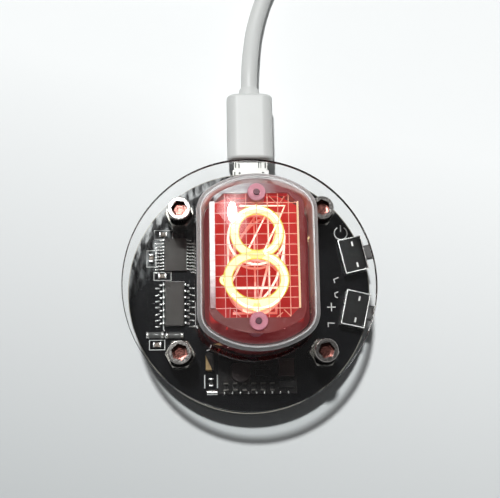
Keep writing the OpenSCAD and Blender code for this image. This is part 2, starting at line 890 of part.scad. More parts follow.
module getter() {
    dish = 0.4;
    color("gray")
    at_tube(0) {
        translate([0, 0, stem_top])
            cylinder(h = getter_z - stem_top, d = 2 * wire_d, $fn = 24);
        translate([0, 0, getter_z])
            rotate_extrude()
                polygon([
                    [0, 0], [getter_r, 0], [getter_r, 2 * dish], [getter_r - dish / 2, 2 * dish],
                    [getter_r - dish / 2, dish / 2], [dish, dish / 2], [dish, 2 * dish], [0, 2 * dish]
                ]);
    }
}

// ---- Parts on the board

// Moulded body whose sides draw in above and below the leads
module chip_body(size) {
    draft = size[2] * 0.12;
    dot_r = size[0] * 0.08;
    difference() {
        translate([0, 0, chip_lift])
            along_y(-size[1] / 2, size[1] / 2)
                polygon([
                    [-size[0] / 2 + draft, 0], [size[0] / 2 - draft, 0], [size[0] / 2, size[2] * 0.5],
                    [size[0] / 2 - draft, size[2]], [-size[0] / 2 + draft, size[2]], [-size[0] / 2, size[2] * 0.5]
                ]);
        translate([-size[0] * 0.28, size[1] * 0.38, chip_lift + size[2] - dot_r / 3])
            cylinder(h = dot_r, r = dot_r, $fn = 24);
    }
}

// One gull-wing lead that leaves the body at +X
module gull_lead(size, reach, w) {
    knee = chip_lift + size[2] / 2;
    rotate([90, 0, 0])
        translate([size[0] / 2, 0, -w / 2])
            linear_extrude(w)
                strip([
                    [0, knee], [reach * 0.3, knee],
                    [reach * 0.5, lead_t / 2], [reach, lead_t / 2]
                ], lead_t);
}

module lead_rows(size, n, pitch, reach, w) {
    for (side = [0, 180])
        for (i = [0 : n - 1])
            rotate(side)
                translate([0, (i - (n - 1) / 2) * pitch, 0])
                    gull_lead(size, reach, w);
}

module controller_chip() {
    color("dimgray")
    at_board(board_top)
        translate(controller_at)
            chip_body(controller_size);
}

module controller_leads() {
    color("silver")
    at_board(board_top)
        translate(controller_at)
            lead_rows(controller_size, controller_leads_n, controller_pitch, lead_reach, controller_lead_w);
}

module driver_chip() {
    color("dimgray")
    at_board(board_top)
        translate(driver_at)
            chip_body(driver_size);
}

module driver_leads() {
    color("silver")
    at_board(board_top)
        translate(driver_at)
            lead_rows(driver_size, driver_leads_n, driver_pitch, lead_reach, driver_lead_w);
}

// A small ceramic block between two metal ends
module chip_block(size, h) {
    skin = 0.04;
    translate([-size[0] / 2 + size[3], -size[1] / 2, skin])
        cube([size[0] - 2 * size[3], size[1], h]);
    for (side = [0, 180])
        rotate(side)
            translate([size[0] / 2 - size[3], -size[1] / 2 - skin, 0])
                cube([size[3], size[1] + 2 * skin, h + 2 * skin]);
}

module chip_capacitors() {
    color("tan")
    at_board(board_top)
        for (p = capacitor_places)
            translate([p[0], p[1], 0])
                rotate(p[2])
                    chip_block(chip_part, chip_part[2]);
}

module chip_resistors() {
    color("black") {
        at_supply()
            for (i = [0 : resistor_row - 1])
                translate([resistor_row_start[0] + i * resistor_row_step, resistor_row_start[1], 0])
                    rotate(90)
                        chip_block(chip_part, resistor_h);
        at_board(board_top)
            translate(resistor_single)
                rotate(90)
                    chip_block(chip_part, resistor_h);
    }
}

module signal_diodes() {
    color("gray")
    at_board(board_top + diode_d / 2)
        for (p = diode_places)
            translate([p[0], p[1], 0])
                rotate([0, 90, 0]) {
                    cylinder(h = diode_l - 2 * diode_band, d = diode_d * 0.92, center = true);
                    for (side = [-1, 1])
                        translate([0, 0, side * (diode_l - diode_band) / 2])
                            cylinder(h = diode_band, d = diode_d, center = true);
                }
}

module tantalum_capacitor() {
    foot = 0.8;
    color("peru")
    at_board(board_top)
        translate(tantalum_at) {
            translate([0, 0, chip_lift])
                along_y(-tantalum_size[1] / 2, tantalum_size[1] / 2)
                    polygon([
                        [-tantalum_size[0] / 2, 0], [tantalum_size[0] / 2, 0],
                        [tantalum_size[0] / 2, tantalum_size[2] / 2], [tantalum_size[0] * 0.45, tantalum_size[2]],
                        [-tantalum_size[0] * 0.45, tantalum_size[2]], [-tantalum_size[0] / 2, tantalum_size[2] / 2]
                    ]);
            for (side = [-1, 1])
                translate([-tantalum_size[0] * 0.36, side * (tantalum_size[1] / 2 - foot / 2 + lead_t) - foot / 2, 0])
                    cube([tantalum_size[0] * 0.72, foot, tantalum_size[2] / 2]);
        }
}

// The supply board has half-round notches along its south edge
module supply_board() {
    color([0.1, 0.09, 0.09])
    at_board(board_top)
        translate(supply_at)
            difference() {
                translate([-supply_w / 2, -supply_l / 2, 0])
                    cube([supply_w, supply_l, supply_t]);
                for (i = [0 : supply_pads - 1])
                    translate([(i - (supply_pads - 1) / 2) * supply_pad_step, -supply_l / 2, -1])
                        cylinder(h = supply_t + 2, r = supply_pad_r, $fn = 24);
            }
}

module high_voltage_capacitor() {
    color("saddlebrown")
    at_supply()
        translate(reservoir_at)
            rotate(90)
                chip_block([reservoir_size[1], reservoir_size[0], reservoir_size[2], 0.5], reservoir_size[2]);
}

// Drum core on a square base
module boost_inductor() {
    rim = inductor_h * 0.22;
    color("black")
    at_supply()
        translate(inductor_at) {
            linear_extrude(rim)
                cut_rectangle(inductor_w, inductor_w, inductor_w * 0.15);
            rotate_extrude()
                polygon([
                    [0, 0], [inductor_w * 0.4, 0], [inductor_w * 0.4, inductor_h - rim],
                    [inductor_w * 0.49, inductor_h - rim], [inductor_w * 0.49, inductor_h], [0, inductor_h]
                ]);
        }
}

// Small moulded package: two leads on one side and one or more on the other
module small_package(one_side, other_side) {
    chip_body(small_body);
    for (i = [0 : one_side - 1])
        translate([0, (i - (one_side - 1) / 2) * small_pitch * (one_side == 2 ? 2 : 1), 0])
            gull_lead(small_body, small_reach, small_lead_w);
    for (i = [0 : other_side - 1])
        rotate(180)
            translate([0, (i - (other_side - 1) / 2) * small_pitch * (other_side == 2 ? 2 : 1), 0])
                gull_lead(small_body, small_reach, small_lead_w);
}

module boost_chip() {
    color("dimgray")
    at_supply()
        translate(boost_chip_at)
            rotate(90)
                small_package(3, 3);
}

module boost_transistor() {
    color("dimgray")
    at_supply()
        translate(boost_fet_at)
            rotate(90)
                small_package(2, 1);
}

// One switching transistor for each cathode, under the board
module cathode_transistors() {
    color("dimgray")
    at_tube(foot_h)
        for (side = [0, 180])
            for (i = [0 : transistor_rows - 1])
                rotate(side)
                    translate([transistor_x, (i - (transistor_rows - 1) / 2) * transistor_step, 0])
                        rotate([180, 0, 0])
                            small_package(2, 1);
}

// ---- Push switches: +X is the way out, z 0 is the board

module at_switch(at, turn) at_board(board_top) translate(at) rotate(turn) children();

module switch_body() {
    difference() {
        translate([-body_l / 2, -body_w / 2, 0])
            cube([body_l, body_w, body_h]);
        translate([pocket_front - 1, -button_w / 2 - button_gap, button_z - button_h / 2 - button_gap])
            cube([wall_l + 2, button_w + 2 * button_gap, button_h + 2 * button_gap]);
        translate([button_back - button_travel - stop_gap, -flange_w / 2 - button_gap, button_z - button_h / 2 - button_gap])
            cube([pocket_front - button_back + button_travel + stop_gap, flange_w + 2 * button_gap, button_h + 2 * button_gap]);
        translate([pocket_back, 0, button_z])
            rotate([0, 90, 0])
                cylinder(h = pocket_front - pocket_back, d = dome_w + 2 * fit_gap);
        for (side = [-1, 1])
            translate([blade_x - blade[0] / 2 - fit_gap, side * blade_y - blade[1] / 2 - fit_gap, -1])
                cube([blade[0] + 2 * fit_gap, blade[1] + 2 * fit_gap, body_h + 2]);
    }
}

module switch_frame() {
    hole = 0.15;
    difference() {
        translate([-switch_l / 2, -switch_w / 2, 0])
            cube([switch_l, switch_w, switch_h]);
        translate([switch_wall - switch_l / 2, switch_wall - switch_w / 2, -1])
            cube([switch_l - 2 * switch_wall, switch_w - 2 * switch_wall, switch_h + 2]);
        translate([0, -button_w / 2 - button_gap - hole, button_z - button_h / 2 - button_gap - hole])
            cube([switch_l, button_w + 2 * (button_gap + hole), button_h + 2 * (button_gap + hole)]);
    }
}

module push_button() {
    corner = 0.3;
    translate([0, 0, button_z])
        rotate([90, 0, 90]) {
            translate([0, 0, button_back])
                linear_extrude(button_tip - button_back)
                    round_rectangle(button_w, button_h, corner);
            translate([0, 0, flange_back])
                linear_extrude(flange_l)
                    round_rectangle(flange_w, button_h, corner);
        }
}

// A thin sprung dome behind the button, and the two blades beside it
module switch_contact_set() {
    dome_r = (dome_w * dome_w / 4 + dome_rise * dome_rise) / (2 * dome_rise);
    dome_a = asin(dome_w / 2 / dome_r);
    steps = 6;
    translate([dome_front - dome_r, 0, button_z])
        rotate([0, 90, 0])
            rotate_extrude()
                polygon(concat(
                    [for (i = [0 : steps]) dome_r * [sin(dome_a * i / steps), cos(dome_a * i / steps)]],
                    [for (i = [steps : -1 : 0]) (dome_r - dome_t) * [sin(dome_a * i / steps), cos(dome_a * i / steps)]]));
    for (side = [-1, 1])
        translate([blade_x - blade[0] / 2, side * blade_y - blade[1] / 2, 0])
            cube([blade[0], blade[1], body_h + fit_gap]);
}

module power_switch_body() color([0.13, 0.13, 0.14]) at_switch(power_at, power_turn) switch_body();
module power_switch_frame() color("silver") at_switch(power_at, power_turn) switch_frame();
module power_button() color([0.16, 0.13, 0.12]) at_switch(power_at, power_turn) push_button();
module plus_switch_body() color([0.13, 0.13, 0.14]) at_switch(plus_at, plus_turn) switch_body();
module plus_switch_frame() color("silver") at_switch(plus_at, plus_turn) switch_frame();
module plus_button() color([0.16, 0.13, 0.12]) at_switch(plus_at, plus_turn) push_button();
module switch_contacts() {
    color("khaki") {
        at_switch(power_at, power_turn) switch_contact_set();
        at_switch(plus_at, plus_turn) switch_contact_set();
    }
}

// ---- Inlet and small plug

// Flat-topped profile whose lower corners are cut off
module inlet_profile(w, h, cut) {
    polygon([
        [-w / 2, h / 2], [-w / 2, cut - h / 2], [cut - w / 2, -h / 2],
        [w / 2 - cut, -h / 2], [w / 2, cut - h / 2], [w / 2, h / 2]
    ]);
}

module usb_socket_shell() {
    outer_w = inlet_w + 2 * shell_t;
    outer_h = inlet_h + 2 * shell_t;
    color("silver")
    translate([inlet_x, 0, inlet_z])
        difference() {
            along_y(inlet_back, inlet_front)
                inlet_profile(outer_w, outer_h, profile_cut);
            along_y(inlet_back + shell_t, inlet_front + 1)
                inlet_profile(inlet_w, inlet_h, profile_cut - shell_t / 2);
        }
}

module usb_socket_tongue() {
    back_l = 0.8;
    gap = fit_gap;
    color("black")
    translate([inlet_x, 0, inlet_z]) {
        along_y(inlet_back + shell_t + gap, inlet_back + shell_t + back_l)
            inlet_profile(inlet_w - 2 * gap, inlet_h - 2 * gap, profile_cut - shell_t / 2);
        along_y(inlet_back + shell_t, inlet_back + shell_t + tongue_l)
            square([tongue_w, tongue_h], center = true);
    }
}

module micro_plug_shell() {
    cut = profile_cut - shell_t / 2;
    color("silver")
    translate([plug_x, 0, inlet_z])
        difference() {
            along_y(inlet_front - plug_in + shell_t, grip_front)
                inlet_profile(plug_w, plug_h, cut);
            along_y(inlet_front - plug_in - 1, grip_front + 1)
                inlet_profile(plug_w - 2 * shell_t, plug_h - 2 * shell_t, cut - shell_t / 2);
        }
}

// Block inside the plug's shell, slotted for the inlet's tongue
module micro_plug_insert() {
    w = plug_w - 2 * shell_t - 2 * fit_gap;
    h = plug_h - 2 * shell_t - 2 * fit_gap;
    tongue_tip = inlet_back + shell_t + tongue_l;
    color("dimgray")
    translate([plug_x, 0, inlet_z])
        difference() {
            along_y(inlet_front - plug_in + 2 * shell_t, grip_front)
                inlet_profile(w, h, profile_cut - shell_t);
            along_y(inlet_front - plug_in - 1, tongue_tip + 0.3)
                square([tongue_w + 4 * insert_gap, tongue_h + 2 * insert_gap], center = true);
        }
}

module micro_plug_grip() {
    corner = 2.6;
    waist = 0.3;
    edge = 0.6;
    thin = 0.01;
    color("gainsboro")
    translate([plug_x, 0, inlet_z]) {
        hull() {
            along_y(grip_front, grip_front + thin)
                round_rectangle(grip_w - edge, grip_h - edge, corner - edge / 2);
            along_y(grip_front + edge / 2, grip_front + edge / 2 + thin)
                round_rectangle(grip_w, grip_h, corner);
            along_y(grip_back - edge - thin, grip_back - edge)
                round_rectangle(grip_w - waist, grip_h - waist, corner);
            along_y(grip_back - thin, grip_back)
                round_rectangle(grip_w - waist - edge, grip_h - waist - edge, corner - edge / 2);
        }
        translate([0, collar_end, 0])
            rotate([90, 0, 0])
                cylinder(h = collar_l, d1 = cord_d + 0.5, d2 = collar_d);
    }
}

// ---- Lead

// Rings of a round tube along a path; first and last give the directions at its ends
function ring_points(at, dir, r, n) = let (side = unit(cross(dir, [0, 0, 1])), up = cross(side, dir))
    [for (i = [0 : n - 1]) let (a = 360 * (i + 0.5) / n) at + r * (cos(a) * side + sin(a) * up)];
function path_dir(path, i, first, last) =
    i == 0 ? unit(first) : i == len(path) - 1 ? unit(last) : unit(unit(path[i + 1] - path[i]) + unit(path[i] - path[i - 1]));
module tube_along(path, first, last, r, n) {
    rings = len(path);
    points = [for (i = [0 : rings - 1]) each ring_points(path[i], path_dir(path, i, first, last), r, n)];
    sides = [for (k = [0 : rings - 2]) for (i = [0 : n - 1]) let (
        a = k * n + i,
        b = k * n + (i + 1) % n
    ) each [[a, b, a + n], [b, b + n, a + n]]];
    polyhedron(points, concat(
        sides,
        [for (i = [1 : n - 2]) [0, i + 1, i]],
        [for (i = [1 : n - 2]) let (e = (rings - 1) * n) [e, e + i, e + i + 1]]));
}

// The coil winds in on the table, climbs one layer in the half turn at its middle and winds out on top
half_turns = coil_turns / 2;
function coil_radius(t) = coil_out_r - turn_step * (half_turns - abs(t - half_turns));
function smooth(x) = let (c = min(1, max(0, x))) c * c * (3 - 2 * c);
function coil_height(t) = cord_r + layer_rise * smooth((t - half_turns + 0.25) / 0.5);
function coil_point(t) = let (a = coil_from + 360 * t, r = coil_radius(t))
    [coil_centre[0] + r * cos(a), coil_centre[1] + r * sin(a), coil_height(t)];
function round_dir(a) = [-sin(a), cos(a), 0];
coil_steps = ceil(coil_turns * coil_rings);
coil_curve = [for (i = [0 : coil_steps]) coil_point(coil_turns * i / coil_steps)];
coil_first_dir = round_dir(coil_from);
coil_last_dir = round_dir(coil_from + 360 * coil_turns);
coil_in = coil_curve[0] - cord_d * coil_first_dir;
coil_out = coil_curve[coil_steps] + cord_d * coil_last_dir;
coil_path = concat([coil_in], coil_curve, [coil_out]);

// Least clear gap between the coil's turns, on its own points
near = coil_rings / 2;
coil_gaps = [for (i = [0 : coil_steps - near]) for (j = [i + near : coil_steps])
    norm(coil_curve[i] - coil_curve[j]) - cord_d];
echo(least_gap_in_coil = min(coil_gaps));

function path_length(p, i = 1) = i >= len(p) ? 0 : norm(p[i] - p[i - 1]) + path_length(p, i + 1);
lead_start = [plug_x, collar_end, inlet_z];
lead_path = concat([lead_start], lead_points, [coil_in]);
tail_centre = [coil_out[0] - tail_bend * coil_last_dir[1], coil_out[1] + tail_bend * coil_last_dir[0]];
tail_path = [for (i = [0 : tail_steps]) let (a = tail_turn - 90 - tail_sweep * (1 - i / tail_steps)) [
    tail_centre[0] + tail_bend * cos(a), tail_centre[1] + tail_bend * sin(a),
    coil_out[2] + (plug_rest_z - coil_out[2]) * smooth(i / tail_steps / tail_rise_share)]];
tail_end = tail_path[tail_steps];
echo(lead_length = path_length(lead_path) + path_length(coil_path) + path_length(tail_path));

module cord_lead() {
    color("gainsboro")
    tube_along(lead_path, [0, 1, 0], coil_first_dir, cord_r, cord_sides);
}

module cord_coil() {
    color("gainsboro")
    tube_along(coil_path, coil_first_dir, coil_last_dir, cord_r, coil_sides);
}

module cord_tail() {
    color("gainsboro")
    tube_along(tail_path, coil_last_dir, [cos(tail_turn), sin(tail_turn), 0], cord_r, cord_sides);
}

// Runs +X on from the lead's far end
module at_tail() translate(tail_end) rotate(tail_turn) children();

module large_plug_grip() {
    corner = 1.8;
    neck = 6;
    thin = 0.01;
    color("gainsboro")
    at_tail()
        rotate([90, 0, 90])
            hull() {
                linear_extrude(thin)
                    round_rectangle(cord_d * 1.6, cord_d * 1.6, corner);
                translate([0, 0, neck])
                    linear_extrude(big_grip_l - neck)
                        round_rectangle(big_grip_w, big_grip_h, corner);
            }
}

module large_plug_shell() {
    sheet = 0.3;
    window = 2.2;
    color("silver")
    at_tail()
        difference() {
            translate([big_grip_l, -big_shell_w / 2, -big_shell_h / 2])
                cube([big_shell_l, big_shell_w, big_shell_h]);
            translate([big_grip_l - 1, sheet - big_shell_w / 2, sheet - big_shell_h / 2])
                cube([big_shell_l + 2, big_shell_w - 2 * sheet, big_shell_h - 2 * sheet]);
            for (side = [-1, 1])
                translate([big_grip_l + big_shell_l * 0.45, side * big_shell_w / 4 - window / 2, 0])
                    cube([window, window, big_shell_h]);
        }
}

module large_plug_tongue() {
    sheet = 0.3;
    share = 0.45;
    color("whitesmoke")
    at_tail()
        translate([big_grip_l, sheet + fit_gap - big_shell_w / 2, sheet + fit_gap - big_shell_h / 2])
            cube([big_shell_l - 2 * sheet, big_shell_w - 2 * sheet - 2 * fit_gap, big_shell_h * share]);
}

top_plate();
circuit_board();
cap_screws();
upper_standoffs();
foot_standoffs();
tube_glass();
tube_stem();
tube_pins();
pin_sockets();
anode_mesh();
anode_frame();
back_plate();
cathode(0);  // cathode_0
cathode(1);  // cathode_1
cathode(2);  // cathode_2
cathode(3);  // cathode_3
cathode(4);  // cathode_4
cathode(5);  // cathode_5
cathode(6);  // cathode_6
cathode(7);  // cathode_7
cathode(8);  // cathode_8
cathode(9);  // cathode_9
ceramic_spacers();
support_rods();
lead_wires();
getter();
controller_chip();
controller_leads();
driver_chip();
driver_leads();
chip_capacitors();
chip_resistors();
signal_diodes();
tantalum_capacitor();
supply_board();
high_voltage_capacitor();
boost_inductor();
boost_chip();
boost_transistor();
cathode_transistors();
usb_socket_shell();
usb_socket_tongue();
power_switch_body();
power_switch_frame();
power_button();
plus_switch_body();
plus_switch_frame();
plus_button();
switch_contacts();
micro_plug_shell();
micro_plug_insert();
micro_plug_grip();
cord_lead();
cord_coil();
cord_tail();
large_plug_grip();
large_plug_shell();
large_plug_tongue();
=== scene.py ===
import math

import bpy
from mathutils import Matrix, Vector


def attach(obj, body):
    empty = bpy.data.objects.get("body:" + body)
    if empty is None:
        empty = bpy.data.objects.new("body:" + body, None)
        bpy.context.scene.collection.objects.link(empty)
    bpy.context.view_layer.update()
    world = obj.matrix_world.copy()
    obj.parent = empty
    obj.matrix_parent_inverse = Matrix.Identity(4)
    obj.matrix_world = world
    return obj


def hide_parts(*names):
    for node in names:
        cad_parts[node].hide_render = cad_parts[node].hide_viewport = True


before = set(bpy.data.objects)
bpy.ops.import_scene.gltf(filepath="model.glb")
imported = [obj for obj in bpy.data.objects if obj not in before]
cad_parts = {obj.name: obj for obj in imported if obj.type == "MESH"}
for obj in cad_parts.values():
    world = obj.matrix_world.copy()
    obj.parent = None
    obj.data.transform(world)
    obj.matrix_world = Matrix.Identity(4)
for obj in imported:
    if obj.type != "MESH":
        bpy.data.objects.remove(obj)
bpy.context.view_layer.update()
mm = 0.001
boardY = -0.6  # the board's centre lies this far south of the screw pattern's centre
boardTop = 8.1
print("stage: frame loaded")

photoCamera = {
    "lens": 72, "sensor": 36, "clip": (0.01, 10), "place": (-9.3, -31.0, 204.9),
    "tilt": 11.23, "yaw": 2.74, "roll": -1.01,
}


def linked(name, data):
    piece = bpy.data.objects.new(name, data)
    bpy.context.scene.collection.objects.link(piece)
    return piece


def makeCamera(spec):
    tilt, yaw, roll = (math.radians(spec[key]) for key in ("tilt", "yaw", "roll"))
    ahead = Vector((math.sin(yaw), math.sin(tilt) * math.cos(yaw), -math.cos(tilt) * math.cos(yaw))).normalized()
    right = ahead.cross(Vector((0, 1, 0))).normalized()
    up = right.cross(ahead)
    side = math.cos(roll) * right + math.sin(roll) * up
    top = math.cos(roll) * up - math.sin(roll) * right
    data = bpy.data.cameras.new("photoCamera")
    data.lens = spec["lens"]
    data.sensor_width = spec["sensor"]
    data.clip_start, data.clip_end = spec["clip"]
    camera = linked("photoCamera", data)
    turn = Matrix((side, top, -ahead)).transposed().to_4x4()
    camera.matrix_world = Matrix.Translation(Vector(spec["place"]) * mm) @ turn
    bpy.context.scene.camera = camera


makeCamera(photoCamera)

lead = {
    "diameter": 3.4, "length": 1008, "sides": 7,
    "exit": (0.8, 42.9, 5.275),
    "run": [(0.9, 46.4, 5.2), (1.3, 51, 4.3), (2.3, 57.6, 2.6), (4.5, 65, 1.7), (7.8, 71.4, 1.7)], "runSteps": 6,
    "coilCentre": (-7, 96.5), "coilFrom": -42, "coilTurns": 7.367, "coilRadius": 19.9, "coilGap": 0.5,
    "coilRise": 0.5, "ringsPerTurn": 36,  # the upper layer starts within half a turn
    "tailBend": 15, "tailSweep": 165, "tailSteps": 30, "tailRise": 0.6, "plugHeight": 11.25,
}


def smoothRun(points, before, after, steps):
    # a smooth run through the points; before and after steer its two ends
    knots = [Vector(before), *map(Vector, points), Vector(after)]
    run = []
    for a, b, c, d in zip(knots, knots[1:], knots[2:], knots[3:]):
        for step in range(steps):
            t = step / steps
            bend = (2 * a - 5 * b + 4 * c - d) * t * t + (3 * b - a - 3 * c + d) * t ** 3
            run.append(0.5 * (2 * b + (c - a) * t + bend))
    return run + [Vector(points[-1])]


def eased(share):
    share = min(1, max(0, share))
    return share * share * (3 - 2 * share)


def coilPoint(spec, t):
    half = spec["coilTurns"] / 2
    pitch = spec["diameter"] + spec["coilGap"]
    radius = spec["coilRadius"] + pitch * half / 2 - pitch * (half - abs(t - half))
    angle = math.radians(spec["coilFrom"] + 360 * t)
    x, y = spec["coilCentre"]
    height = spec["diameter"] / 2 + pitch * eased((t - half) / spec["coilRise"] + 0.5)
    return Vector((x + radius * math.cos(angle), y + radius * math.sin(angle), height))


def leadRoute(spec):
    rings = math.ceil(spec["coilTurns"] * spec["ringsPerTurn"])
    coil = [coilPoint(spec, spec["coilTurns"] * i / rings) for i in range(rings + 1)]
    into = coil[0] + (coil[0] - coil[1]).normalized() * spec["diameter"]
    out = coil[-1] + (coil[-1] - coil[-2]).normalized() * spec["diameter"]
    start = Vector(spec["exit"])
    first = smoothRun([start, *spec["run"], into], start - Vector((0, 3, 0)), coil[0], spec["runSteps"])
    # the tail bends back over the coil to the large plug, which lies on it
    ahead = (coil[-1] - coil[-2]).normalized()
    centre = out + Vector((-ahead.y, ahead.x, 0)) * spec["tailBend"]
    turn = spec["coilFrom"] + 360 * spec["coilTurns"]
    last = []
    for i in range(spec["tailSteps"] + 1):
        share = i / spec["tailSteps"]
        angle = math.radians(turn + spec["tailSweep"] * share)
        outward = Vector((math.cos(angle), math.sin(angle), 0)) * spec["tailBend"]
        height = out.z + (spec["plugHeight"] - out.z) * eased(share / spec["tailRise"])
        last.append(Vector((centre.x + outward.x, centre.y + outward.y, height)))
    return first + coil + last


def newCurve(name, lines, **settings):
    # a spline for each line of points in millimetres, closed where the line ends at its start
    curve = bpy.data.curves.new(name, "CURVE")
    for key, value in {"dimensions": "3D", **settings}.items():
        setattr(curve, key, value)
    for line in lines:
        closed = len(line) > 2 and math.dist(line[0], line[-1]) < 0.001
        points = line[:-1] if closed else line
        spline = curve.splines.new("POLY")
        spline.points.add(len(points) - 1)
        spline.use_cyclic_u = closed
        for point, place in zip(spline.points, points):
            point.co = (*(c * mm for c in place), 1)
    return linked(name, curve)


def makeLead(spec):
    section = {"bevel_depth": spec["diameter"] / 2 * mm, "bevel_resolution": spec["sides"], "use_fill_caps": True}
    return newCurve("powerLead", [leadRoute(spec)], **section)


powerLead = makeLead(lead)
print("stage: camera and lead")


def editing(on):
    bpy.ops.object.mode_set(mode="EDIT" if on else "OBJECT")


def deselect():
    if bpy.context.mode != "OBJECT":
        editing(False)
    bpy.ops.object.select_all(action="DESELECT")


def hold(piece):
    deselect()
    piece.select_set(True)
    bpy.context.view_layer.objects.active = piece


def newest(name):
    piece = bpy.context.view_layer.objects.active
    piece.name = piece.data.name = name
    return piece


def settle(piece):
    hold(piece)
    bpy.ops.object.transform_apply(location=True, rotation=True, scale=True)
    return piece


def finishWith(piece, kind, **settings):
    hold(piece)
    modifier = piece.modifiers.new(kind, kind)
    for key, value in settings.items():
        setattr(modifier, key, value)
    bpy.ops.object.modifier_apply(modifier=modifier.name)
    return piece


def smoothBy(piece, degrees):
    hold(piece)
    bpy.ops.object.shade_smooth_by_angle(angle=math.radians(degrees))
    return piece


def flatten(piece):
    # normals follow the large faces, so flat faces stay flat beside their bevels
    return finishWith(piece, "WEIGHTED_NORMAL", keep_sharp=True, weight=50)


def bevelled(piece, width, segments=2, degrees=40):
    # rounds the edges that turn by more than the angle
    return finishWith(piece, "BEVEL", width=width * mm, segments=segments,
                      limit_method="ANGLE", angle_limit=math.radians(degrees))


def openWhole(piece):
    hold(piece)
    editing(True)
    bpy.ops.mesh.select_all(action="SELECT")


def faceOutwards(piece):
    openWhole(piece)
    bpy.ops.mesh.normals_make_consistent(inside=False)
    editing(False)
    return piece


def startPicking(piece, kind):
    # leaves nothing selected, in face or edge mode
    hold(piece)
    editing(True)
    bpy.ops.mesh.select_mode(type=kind)
    bpy.ops.mesh.select_all(action="DESELECT")
    editing(False)


def pickFaces(piece, test):
    # the test gets a face's middle in millimetres and its normal
    startPicking(piece, "FACE")
    for face in piece.data.polygons:
        face.select = test(face.center / mm, face.normal)
    editing(True)


def pickEdges(piece, test):
    # the test gets an edge's two ends in millimetres
    startPicking(piece, "EDGE")
    points = piece.data.vertices
    for edge in piece.data.edges:
        edge.select = test(*(points[i].co / mm for i in edge.vertices))
    editing(True)


def bevelPicked(width, segments=3):
    bpy.ops.mesh.bevel(offset=width * mm, segments=segments, affect="EDGES", profile=0.5)
    editing(False)


def extrudeUp(height):
    bpy.ops.mesh.extrude_region_move(TRANSFORM_OT_translate={"value": (0, 0, height * mm)})


def addBox(name, centre, size):
    deselect()
    bpy.ops.mesh.primitive_cube_add(size=1, location=Vector(centre) * mm)
    piece = newest(name)
    piece.scale = Vector(size) * mm
    return settle(piece)


def addRod(name, centre, radius, height, sides):
    deselect()
    bpy.ops.mesh.primitive_cylinder_add(vertices=sides, radius=radius * mm, depth=height * mm,
                                        location=Vector(centre) * mm)
    return settle(newest(name))


def joined(name, pieces):
    hold(pieces[0])
    for piece in pieces:
        piece.select_set(True)
    if len(pieces) > 1:
        bpy.ops.object.join()
    return newest(name)


def copies(source, places):
    # each place is (x, y, z, turn in degrees); the source is modelled at the origin
    made = []
    for x, y, z, turn in places:
        piece = linked(source.name, source.data.copy())
        piece.data.transform(Matrix.Translation(Vector((x, y, z)) * mm) @ Matrix.Rotation(math.radians(turn), 4, "Z"))
        made.append(piece)
    bpy.data.objects.remove(source)
    return made


def dressed(node, name, bevel=0.05, segments=2, smooth=35):
    # a merged copy of the CAD node with its edges softened
    piece = linked(name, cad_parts[node].data.copy())
    piece.data.materials.clear()
    openWhole(piece)
    bpy.ops.mesh.remove_doubles(threshold=1e-6)
    bpy.ops.mesh.dissolve_limited(angle_limit=math.radians(0.5))
    editing(False)
    if piece.data.has_custom_normals:
        bpy.ops.mesh.customdata_custom_splitnormals_clear()
    if bevel:
        bevelled(piece, bevel, segments, 30)
    return flatten(smoothBy(piece, smooth))


def ribbons(name, strokes, width, low, height):
    # flat printed or etched lines: one curve with a spline for each stroke, given a rectangle as its section
    half = width / 2
    rectangle = [(-half, 0, 0), (half, 0, 0), (half, height, 0), (-half, height, 0), (-half, 0, 0)]
    section = newCurve(name + "Section", [rectangle], dimensions="2D")
    lines = [[(x, y + boardY, low) for x, y in stroke] for stroke in strokes]
    piece = newCurve(name, lines, twist_mode="Z_UP", bevel_mode="OBJECT", bevel_object=section, use_fill_caps=True)
    hold(piece)
    bpy.ops.object.convert(target="MESH")
    bpy.data.objects.remove(section)
    return faceOutwards(piece)


def arcStroke(x, y, across, along, start, end, steps):
    # part of an oval with the radii across and along, from one angle to another
    angles = [math.radians(start + (end - start) * i / steps) for i in range(steps + 1)]
    return [(x + across * math.cos(a), y + along * math.sin(a)) for a in angles]


def boxStroke(x, y, width, height):
    left, right, low, high = x - width / 2, x + width / 2, y - height / 2, y + height / 2
    return [(left, low), (right, low), (right, high), (left, high), (left, low)]


# sizes that the tube's finishes and pieces share
tube = {
    "centre": (0.4, 0.9), "width": 21.4, "length": 31.5, "endRadius": 14.98, "cornerRadius": 5,
    "bottom": 9.2, "top": 36.45, "wall": 0.8, "foot": 0.9, "footRound": 0.4, "edge": 3.0, "crown": (0.0083, 0.0025),
    "cornerSteps": 12, "endSteps": 9, "edgeSteps": 9, "crownShares": (0.93, 0.84, 0.72, 0.58, 0.42, 0.25, 0.08),
}
stack = {"centre": (0.35, 1.7), "litLayer": 31.225, "litReach": 9.6}
glow = {  # upper and lower are the loops' half sizes, as shares of the figure's width and height
    "height": 16.8, "width": 10.0, "shift": (-0.15, 0.4), "lean": 0.25, "upper": (0.4, 0.24), "lower": (0.5, 0.26),
    "coreRadius": 0.64, "sheathRadius": 0.84, "squash": 0.5, "neck": 1.25, "steps": 56,
    "bulge": (1.15, 0.8, 105, 255, 14), "bulgeThickness": 0.42,
}


def figureLoops(spec):
    # middle and half sizes of the lit figure's two loops
    half = spec["height"] / 2
    x, y = spec["shift"]
    upper, lower = ((spec["width"] * across, spec["height"] * along) for across, along in (spec["upper"], spec["lower"]))
    return [((x + spec["lean"], y + half - upper[1]), upper), ((x, y + lower[1] - half), lower)]


